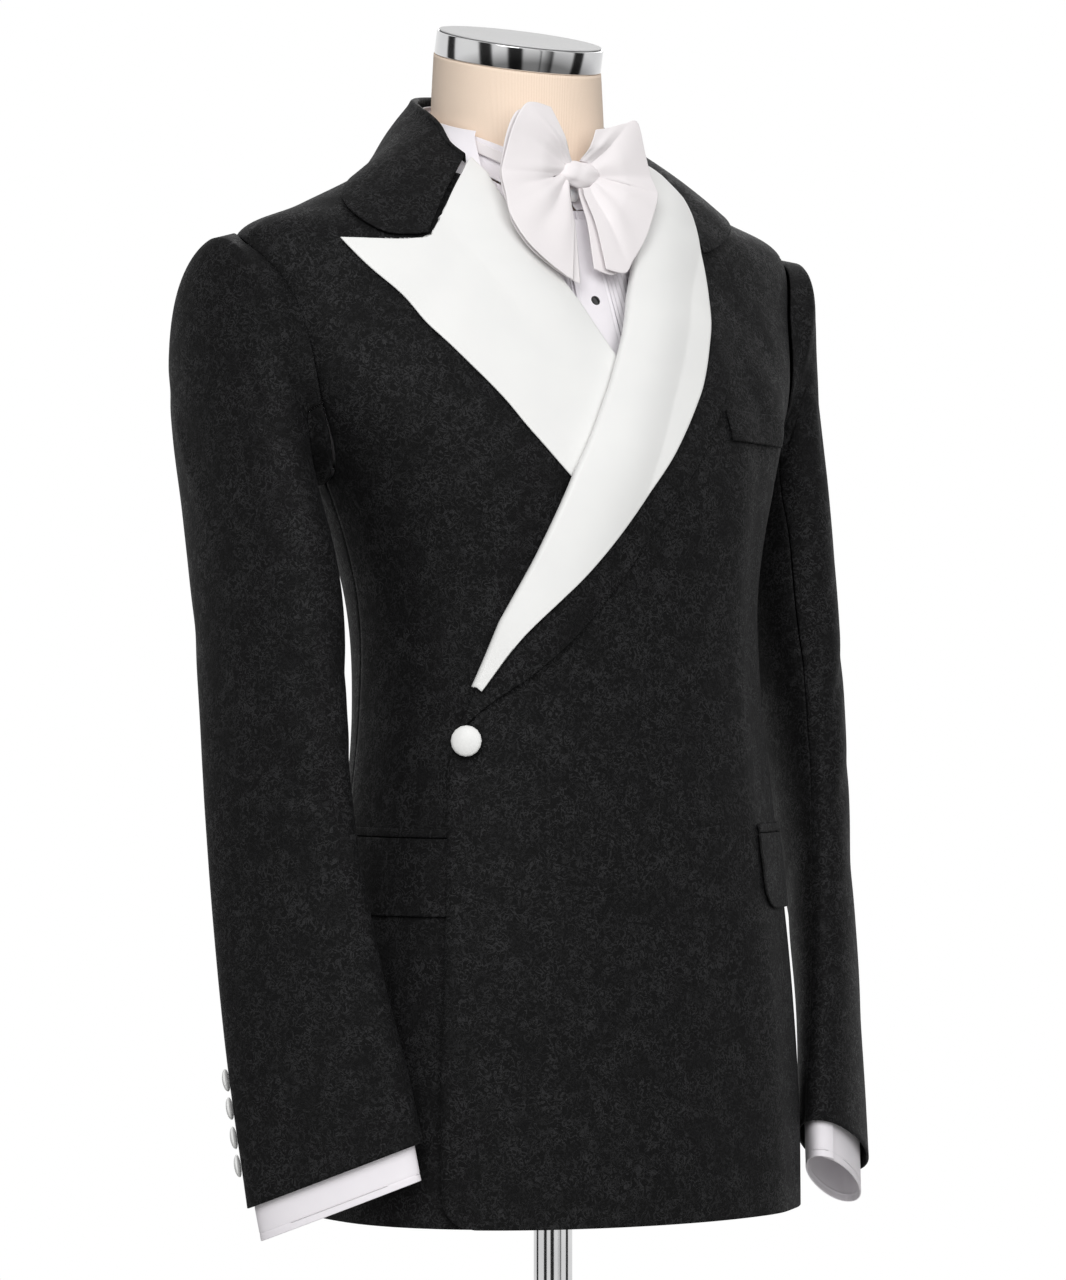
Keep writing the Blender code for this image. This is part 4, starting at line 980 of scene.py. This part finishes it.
# how far the stand starts above the neck line, its bend above that, how far out the bend is,
# and half the height of the tie's band
STAND_START, STAND_BEND, STAND_LEAN, BAND_HALF = 0.4 * MM, 6.9 * MM, 2.5 * MM, 4 * MM
stand, band = [], []
for turn, top_height, top_radius, band_height in with_rows_between(STAND):
    foot = on_body(turn, NECK_LINE, SHIRT_DEPTH)
    foot = neck_point(turn, neck_radius(foot), foot[2] + STAND_START)
    bend_height = foot[2] + STAND_BEND
    bend = neck_point(turn, top_radius + STAND_LEAN, bend_height)
    stand.append(np.array((foot, bend, neck_point(turn, top_radius, top_height))))
    strip = []
    for level in (band_height - BAND_HALF, band_height, band_height + BAND_HALF):
        above_bend = (level - bend_height) / (top_height - bend_height)
        lean = mixed(STAND_LEAN, 0, above_bend) + SHIRT_WALL + LAYER_GAP
        strip.append(neck_point(turn, top_radius + lean, level))
    band.append(np.array(strip))
cloth(
    "collar_stand", refined(around_the_neck(stand, stand), 160, 14), SHIRT_WALL, WHITE_POPLIN,
    ["shirt_collar_stand"],
)
cloth(
    "tie_band", refined(around_the_neck(band, band), 160, 6), SILK_WALL, BOW_SILK,
    ["bow_tie_band"],
)

# %% [markdown]
# ## The shirt
# The dress shirt has two fronts, with narrow stitched tucks on both sides of a plain placket.
# Each tuck is a real step in the cloth, 4.4 to 5 mm from the next, so light catches one side.

# %% Shirt front, back and placket
SHIRT_LINES = np.concatenate((np.linspace(0.6, CHEST_LINE, 20), np.linspace(CHEST_LINE, NECK_LINE, 70)[1:]))
TUCK_DEGREES, TUCK_HEIGHT, TUCK_DROP = 2.3, 0.8 * MM, 0.14
TUCKS_FROM, TUCKS_TO = 10, 45


def tucks(around):
    """The height of the tucks: each rises slowly and drops back within a seventh of its width."""
    inside = (np.abs(around) > TUCKS_FROM) & (np.abs(around) < TUCKS_TO)
    part = (np.abs(around) / TUCK_DEGREES) % 1
    return np.where(inside, TUCK_HEIGHT * np.minimum(part / (1 - TUCK_DROP), (1 - part) / TUCK_DROP), 0)


tucked_turns = np.linspace(TUCKS_FROM, TUCKS_TO, 161)
front_turns = np.concatenate((np.linspace(0.12, 9.9, 7), tucked_turns, np.linspace(46, 95.9, 22)))
back_turns = np.linspace(96.1, 263.9, 61)
for name, turns in (("front_left", front_turns), ("front_right", -front_turns[::-1]), ("back", back_turns)):
    lift = SHIRT_DEPTH - TUCK_HEIGHT * 0.3 + tucks(turns) * 0.75
    rows = [on_body(turns, line, lift) for line in SHIRT_LINES]
    cloth(
        "shirt_" + name + "_cloth", rows, SHIRT_WALL, WHITE_POPLIN, ["shirt_" + name],
        edge=0,
    )
PLACKET_DEPTH = SHIRT_DEPTH + SHIRT_WALL + LAYER_GAP
PLACKET_HALF, STITCH_IN, STITCH_WIDE = 8.5, 1.6, 0.35  # degrees round the body
placket_turns = np.linspace(-PLACKET_HALF, PLACKET_HALF, 49)
from_stitch = (PLACKET_HALF - np.abs(placket_turns) - STITCH_IN) / STITCH_WIDE
edge_stitch = STITCH_DEPTH * np.exp(-from_stitch**2)
rows = [on_body(placket_turns, line, PLACKET_DEPTH - edge_stitch) for line in np.linspace(0.6, 11.4, 60)]
cloth(
    "placket", rows, SHIRT_WALL, WHITE_POPLIN, ["shirt_placket"],
)

# %% Pearl button and stud
PEARL_RADIUS, PEARL_TALL, PEARL_SHANK, PEARL_HEIGHT = 0.0050, 0.0022, 1.6 * MM, 1.3900
pearl_stands = STAND_LEAN + SHIRT_WALL + BUTTON_GAP + PEARL_SHANK
pearl_place = standing(neck_point(0, STAND[0, 2] + pearl_stands, PEARL_HEIGHT), (0, -1, 0))
covered_button(
    "pearl_button", "shirt_button_pearl", PEARL_RADIUS, PEARL_TALL, PEARL_SHANK, pearl_place, PEARL,
    rim=0.55,
)

STUD_RADIUS, STUD_TALL, STUD_LEVEL, RIM_RADIUS = 0.0039, 0.0026, 1.3170, 0.70 * MM
stud_line = float(line_at(0.0, STUD_LEVEL))
stud_base = on_body(0.0, stud_line, PLACKET_DEPTH + SHIRT_WALL + BUTTON_GAP)
stud_place = standing(stud_base, unit(stud_base - on_body(0.0, stud_line, 0.0)))
covered_button("onyx_stud", "shirt_stud", STUD_RADIUS, STUD_TALL, 0, stud_place, ONYX, rim=0.55)
rim = bmesh.new()
ring = bmesh.ops.create_circle(rim, segments=12, radius=RIM_RADIUS)
bmesh.ops.rotate(rim, verts=ring["verts"], cent=(0, 0, 0), matrix=Matrix.Rotation(math.radians(90), 3, "X"))
bmesh.ops.translate(rim, verts=ring["verts"], vec=(STUD_RADIUS, 0, 0.6 * STUD_TALL))
bmesh.ops.spin(
    rim, geom=rim.edges[:], cent=(0, 0, 0), axis=(0, 0, 1), angle=2 * math.pi, steps=48, use_merge=True,
)
bmesh.ops.recalc_face_normals(rim, faces=rim.faces)
for face in rim.faces:
    face.smooth = True
bmesh.ops.transform(rim, matrix=stud_place, verts=rim.verts)
finish_piece("stud_rim", rim, ROSE_STEEL, [])
print("pearl button on the collar's stand, stud on the placket")

# %% [markdown]
# ## The bow tie
# A large soft butterfly bow: each wing is a front and a back loop of silk, pinched at the
# knot. A few soft folds, no two alike, leave the knot and die away before the edge. The
# wings lean back onto the chest. The knot is a small soft wrap that hides where they start.

# %% Wing tables
# From the top down: the angle at which a line leaves the knot, and how far across and up from
# the knot's middle it ends
WING_RIGHT = np.array((
    (55, 0.0273, 0.0452), (46, 0.0413, 0.0480), (37, 0.0496, 0.0452), (28, 0.0579, 0.0313),
    (18, 0.0645, 0.0104), (8, 0.0677, -0.0035), (0, 0.0678, -0.0174), (-7, 0.0679, -0.0313),
    (-14, 0.0597, -0.0487), (-20, 0.0463, -0.0626), (-25, 0.0322, -0.0730), (-28, 0.0264, -0.0758),
))
WING_LEFT = np.array((
    (83, 0.0100, 0.0313), (70, 0.0224, 0.0334), (48, 0.0349, 0.0368), (33, 0.0457, 0.0382),
    (17, 0.0515, 0.0174), (4, 0.0584, -0.0070), (-6, 0.0587, -0.0139), (-17, 0.0514, -0.0278),
    (-30, 0.0407, -0.0452), (-45, 0.0270, -0.0605), (-65, 0.0182, -0.0695), (-93, 0.0024, -0.0674),
))
KNOT, KNOT_HALF = np.array((0.000, -0.0330, 1.4035)), np.array((0.0125, 0.0050, 0.0095))
WING_FRONT, CHEST_LEAN, BEHIND, TUCKED = -0.038, 0.37, 4.6 * MM, 1.02
# Each fold: the line where it leaves the knot and the line that it aims for, half its width
# in lines, and how far it stands out in millimetres
FOLDS_RIGHT = (
    (1.2, 1.9, 0.55, 1.9), (2.9, 3.1, 0.40, -1.1), (4.3, 4.6, 0.70, 2.1), (5.9, 5.6, 0.38, -1.2),
    (7.2, 7.4, 0.55, 1.6), (8.5, 8.2, 0.42, -1.0), (9.8, 9.3, 0.60, 1.4),
)
FOLDS_LEFT = (
    (1.0, 1.4, 0.45, 1.3), (2.6, 2.4, 0.50, -1.0), (4.1, 3.9, 0.75, 2.0), (5.6, 6.0, 0.42, -1.2),
    (6.9, 6.6, 0.50, 1.3), (8.3, 8.9, 0.60, 1.7), (9.6, 9.5, 0.40, -0.9),
)


# %% Wings
WING_BULGE, WING_CURL = 1.2, 0.8  # millimetres, along the middle of each line and at its end


def wing_grid(table, folds, side, turn, behind):
    parts, spin = np.linspace(0, 1, 45), math.radians(turn)
    rows = []
    for number in np.linspace(0, len(table) - 1, 105):
        leaves, ends_across, ends_up = smooth(table, number)
        angle = math.radians(leaves + turn)
        start = TUCKED / math.hypot(math.cos(angle) / KNOT_HALF[0], math.sin(angle) / KNOT_HALF[2])
        far_across = ends_across * math.cos(spin) - ends_up * math.sin(spin)
        far_up = ends_across * math.sin(spin) + ends_up * math.cos(spin)
        width = mixed(start * math.cos(angle), far_across, parts)
        up = mixed(start * math.sin(angle), far_up, parts)
        front = mixed(KNOT[1], WING_FRONT, eased(parts * 2)) - CHEST_LEAN * np.maximum(0.0, -up)
        stands = WING_BULGE * np.sin(np.pi * parts)
        for leaves_at, aims_at, half, push_mm in folds:
            away = (number - mixed(leaves_at, aims_at, parts)) / half
            stands = stands + push_mm * np.exp(-away**2) * np.sin(np.pi * parts**0.6) ** 0.8
        curl = WING_CURL * math.cos(0.9 * number + side) * parts**2
        depth = front - (stands + curl) * MM * (0.4 if behind else 1) + behind * mixed(0.75, 1, parts)
        rows.append(np.stack((side * width, depth, KNOT[2] + up), -1))
    return np.array(rows)


for name, table, folds, side in (("left", WING_LEFT, FOLDS_LEFT, 1), ("right", WING_RIGHT, FOLDS_RIGHT, -1)):
    for layer, turn, behind in (("front", 0, 0), ("back", -6.0, BEHIND)):
        cloth(
            f"wing_{layer}_{name}", wing_grid(table, folds, side, turn, behind), SILK_WALL, BOW_SILK,
            [f"bow_wing_{layer}_{name}"], side > 0,
        )

# %% Knot
WRAP_HALF = np.array((0.0178, 0.0060, 0.0094))
knot = bmesh.new()
bmesh.ops.create_uvsphere(knot, u_segments=96, v_segments=64, radius=1)
bmesh.ops.rotate(knot, verts=knot.verts, cent=(0, 0, 0), matrix=Matrix.Rotation(math.radians(90), 3, "Y"))
for vertex in knot.verts:
    along = max(-1.0, min(1.0, vertex.co.x))
    turn = math.atan2(vertex.co.z, vertex.co.y)
    full = (1 - abs(along) ** 2.2) ** 0.75
    pleats = 0.07 * math.cos(4 * turn + 1.8 * along + 0.5) + 0.04 * math.cos(7 * turn - 2.6 * along)
    pinch = 0.10 * math.exp(-((along + 0.15 - 0.25 * math.sin(turn)) / 0.22) ** 2)
    radius = full * (1 + pleats * (0.5 + 0.5 * abs(along)) - pinch)
    offset = np.array((along, radius * math.cos(turn), radius * math.sin(turn))) * WRAP_HALF
    vertex.co = KNOT + offset
for face in knot.faces:
    face.smooth = True
finish_piece("knot", knot, BOW_SILK, ["bow_knot"])
print("bow tie: four wings and a knot")


# %% [markdown]
# ## Pockets
# Each hip pocket is a slit finished with a narrow jet and covered by a flap with a rounded
# front corner. The breast pocket is a level welt. All of them are the jacket's own cloth, so
# only their edges and the shadow under them show.

# %% Pockets
# first and last turn on its own side, low and high edge, columns and rows of its grid
FLAP, FLAP_CORNER = (44.0, 100.0, 0.8925, 0.9450, 73, 41), 0.018
JET = (44.0, 100.0, 0.9460, 0.9515, 73, 7)
WELT = (38.0, 64.0, 1.2160, 1.2370, 49, 17)


def patch(side, first, last, low, high, columns, rows, corner=0.0):
    """A piece that lies on the front, with a rounded front corner where it has one."""
    made = []
    for part in np.linspace(0, 1, rows):
        level = mixed(low, high, part)
        drop = max(0.0, 1 - (level - low) / corner) if corner else 0.0
        inset = math.degrees(corner / BODY_RADIUS) * (1 - math.sqrt(1 - drop * drop))
        own = np.linspace(first + inset, last, columns)
        height = np.full(columns, level)
        over = left_over(own, height) if side > 0 else 0 * own
        pad = 0.4 * MM * math.sin(math.pi * min(1.0, part * 1.2))
        made.append(at_height(own * side, height, FIRST_LAYER + over + pad))
    return creased(np.array(made), side < 0)


for name, side in (("left", 1), ("right", -1)):
    cloth(
        "flap_" + name, patch(side, *FLAP, FLAP_CORNER), FACING_WALL, BLACK_JACQUARD,
        ["pocket_flap_" + name], side < 0,
    )
    cloth(
        "jet_" + name, patch(side, *JET), FACING_WALL, BLACK_JACQUARD,
        ["pocket_jet_" + name], side < 0,
    )
cloth(
    "welt", patch(1, *WELT), FACING_WALL, BLACK_JACQUARD, ["breast_welt"],
)

# %% [markdown]
# ## The dress form and its stand
# The torso is padded and covered in jersey, and only its neck and its underside show. A
# chromed band and a grey plate cap the neck. The pole and the weighted base are plain turned
# parts, so a cylinder with a small bevel is all that they need.

# %% The form's skin
FORM_BOTTOM, NECK_TILT = 0.760, 13
# from the shoulders up: a ring's height, its radius and how far it still follows the neck line
NECK_RINGS = (
    (1.4230, 0.0640, 1.0), (1.4450, 0.0615, 0.6), (1.4600, 0.0607, 0.2), (NECK_TOP, NECK_RADIUS, 0.0),
)
form_turns = np.linspace(-180, 180, 145)
rows = [on_body(form_turns, line, FORM_DEPTH) for line in np.linspace(1, 11, 70)]
rows[0][:, 2] = FORM_BOTTOM
slope = math.tan(math.radians(NECK_TILT))
forward = np.cos(np.radians(form_turns))
rise = np.where(forward > 0, GIRTHS[NECK_LINE, 5], GIRTHS[NECK_LINE, 6]) * forward**2
necks = []
for height, radius, tilt in NECK_RINGS:
    level = height + mixed(-NECK_RADIUS * slope * forward, rise, tilt)
    angle = np.radians(form_turns)
    necks.append(np.stack((radius * np.sin(angle), NECK_CENTRE_Y - radius * np.cos(angle), level), -1))
necks = smooth(np.array([rows[-1], *necks]), np.linspace(0, len(NECK_RINGS), 41))[1:]
form = grid_mesh(np.array(rows + list(necks)), closed=True)
rims = [edge for edge in form.edges if edge.is_boundary]
bmesh.ops.holes_fill(form, edges=rims, sides=0)
bmesh.ops.recalc_face_normals(form, faces=form.faces)
finish_piece("form_skin", form, JERSEY, ["form_body"])
print("form skin:", len(rows) + len(necks), "rings")


# %% Band, plate, pole and base
def turned_disc(name, node, radius, low, high, ease, place, look, slot, segments=128):
    """A cylinder whose two rims are eased."""
    made = bmesh.new()
    bmesh.ops.create_cone(
        made, cap_ends=True, segments=segments, radius1=radius, radius2=radius, depth=high - low,
    )
    bmesh.ops.translate(made, verts=made.verts, vec=(0, 0, (low + high) / 2))
    rims = [edge for edge in made.edges if edge.calc_face_angle() > 1]
    bmesh.ops.bevel(made, geom=rims, offset=ease, segments=4, profile=0.5, affect="EDGES", material=-1)
    for face in made.faces:
        face.smooth = len(face.verts) == 4
    bmesh.ops.transform(made, matrix=place, verts=made.verts)
    return finish_piece(name, made, look, [node])


tilted = Matrix.Rotation(math.radians(NECK_TILT), 4, "X")
neck_top = Matrix.Translation((0, NECK_CENTRE_Y, NECK_TOP)) @ tilted
upright = Matrix()
# piece, node, radius, low and high end, ease of the rims, place, finish, slot, sides
TURNED = (
    (
        "cap_band", "neck_band", NECK_RADIUS, 0.3 * MM, 16.8 * MM, 0.9 * MM, neck_top, CHROME,
        "polished_chrome",
    ),
    ("cap_plate", "neck_plate", 0.0577, 17.1 * MM, 18.1 * MM, 0.3 * MM, neck_top, PLATE, "grey_plate"),
    ("pole", "stand_pole", 0.0135, 0.0123, 0.7597, 0.3 * MM, upright, CHROME, "polished_chrome", 64),
    ("base", "stand_base", 0.180, 0, 0.012, 2.4 * MM, upright, CHROME, "polished_chrome", 192),
)
for row in TURNED:
    turned_disc(*row)
print("cap, pole and base turned")

# %% [markdown]
# ## The studio
# A plain pale floor, a white surround and three large soft lights. The key stands high, a
# little to the camera's left. The fill stands lower, to its right, is about as strong and isn't
# seen by the polished parts. A weak light behind rims the shoulders.

# %% Floor and lights
floor = bmesh.new()
FLOOR_RADIUS, BELOW_BASE = 1.6, 0.5 * MM
bmesh.ops.create_circle(floor, cap_ends=True, segments=96, radius=FLOOR_RADIUS)
floor_mesh = bpy.data.meshes.new("floor")
floor.to_mesh(floor_mesh)
floor.free()
floor_object = bpy.data.objects.new("floor", floor_mesh)
floor_object.location.z = -BELOW_BASE
bpy.context.scene.collection.objects.link(floor_object)
FLOOR, floor_shader = new_finish("pale matt floor", Roughness=0.9)
floor_shader.inputs["Base Color"].default_value = linear("#dededc")
floor_mesh.materials.append(FLOOR)

world = bpy.data.worlds.new("studio")
world.use_nodes = True
bpy.context.scene.world = world
bpy.context.scene.view_settings.view_transform = "Standard"

# Polished metal mirrors the studio: white walls with dark gaps between them. Each gap is at a
# bearing in degrees from the camera and has half a width. The walls give less light low down.
DARK_GAPS = ((-107, 7), (-47, 8), (-5, 9), (40, 8), (92, 8))
direction = add_node(world, "ShaderNodeTexCoord").outputs["Generated"]
looks = add_node(world, "ShaderNodeSeparateXYZ", {0: direction})
turned_to = add_node(
    world, "ShaderNodeMath", {0: looks.outputs["X"], 1: looks.outputs["Y"]}, operation="ARCTAN2",
)
walls = add_node(
    world, "ShaderNodeMapRange", {0: turned_to.outputs[0], 1: -math.pi, 2: math.pi, 3: 0.0, 4: 1.0},
)
studio = add_node(world, "ShaderNodeValToRGB", {0: walls.outputs[0]})
studio.color_ramp.elements[0].color = studio.color_ramp.elements[1].color = grey(1.0)
CAMERA_BEARING = math.degrees(math.atan2(-ahead.x, -ahead.y))
stops = []
for gap_bearing, half in DARK_GAPS:
    centre = CAMERA_BEARING - gap_bearing
    for edge, level in ((-half - 3, 0.95), (-half, 0.03), (half, 0.03), (half + 3, 0.95)):
        stops.append((((centre + edge + 180) % 360) / 360, level))
for position, level in sorted(stops):
    studio.color_ramp.elements.new(position).color = grey(level)
low_walls = add_node(
    world, "ShaderNodeMapRange", {0: looks.outputs["Z"], 1: -0.35, 2: -0.05, 3: 0.25, 4: 1.0},
)
mirror = add_node(
    world, "ShaderNodeMix", {0: low_walls.outputs[0], 6: grey(0.0), 7: studio.outputs[0]}, data_type="RGBA",
)
ambient = add_node(world, "ShaderNodeMapRange", {0: looks.outputs["Z"], 1: -0.4, 2: 0.5, 3: 0.10, 4: 0.42})
rays = add_node(world, "ShaderNodeLightPath")
mirrored = add_node(
    world, "ShaderNodeMix", {0: rays.outputs["Is Glossy Ray"], 6: ambient.outputs[0], 7: mirror.outputs[2]},
    data_type="RGBA",
)
seen = add_node(
    world, "ShaderNodeMix", {0: rays.outputs["Is Camera Ray"], 6: mirrored.outputs[2], 7: grey(1.0)},
    data_type="RGBA",
)
world.node_tree.links.new(seen.outputs[2], world.node_tree.nodes["Background"].inputs["Color"])


def soft_light(name, place, aim, size, power, mirrored_too=True):
    lamp = bpy.data.lights.new(name, "AREA")
    lamp.shape, lamp.size, lamp.size_y, lamp.energy = "RECTANGLE", size[0], size[1], power
    made = bpy.data.objects.new(name, lamp)
    made.location = place
    made.rotation_euler = (Vector(aim) - Vector(place)).to_track_quat("-Z", "Y").to_euler()
    made.visible_glossy = mirrored_too
    bpy.context.scene.collection.objects.link(made)


soft_light("key", (-1.9, -1.9, 2.8), (0, 0, 1.3), (1.4, 2.0), 42)
soft_light("fill", (-0.6, -3.2, 2.2), (0, 0, 1.3), (1.6, 2.0), 47, False)
soft_light("rim", (1.6, 1.6, 2.6), (0, 0, 1.2), (1.2, 1.2), 10)
print("lights: key, fill and rim")
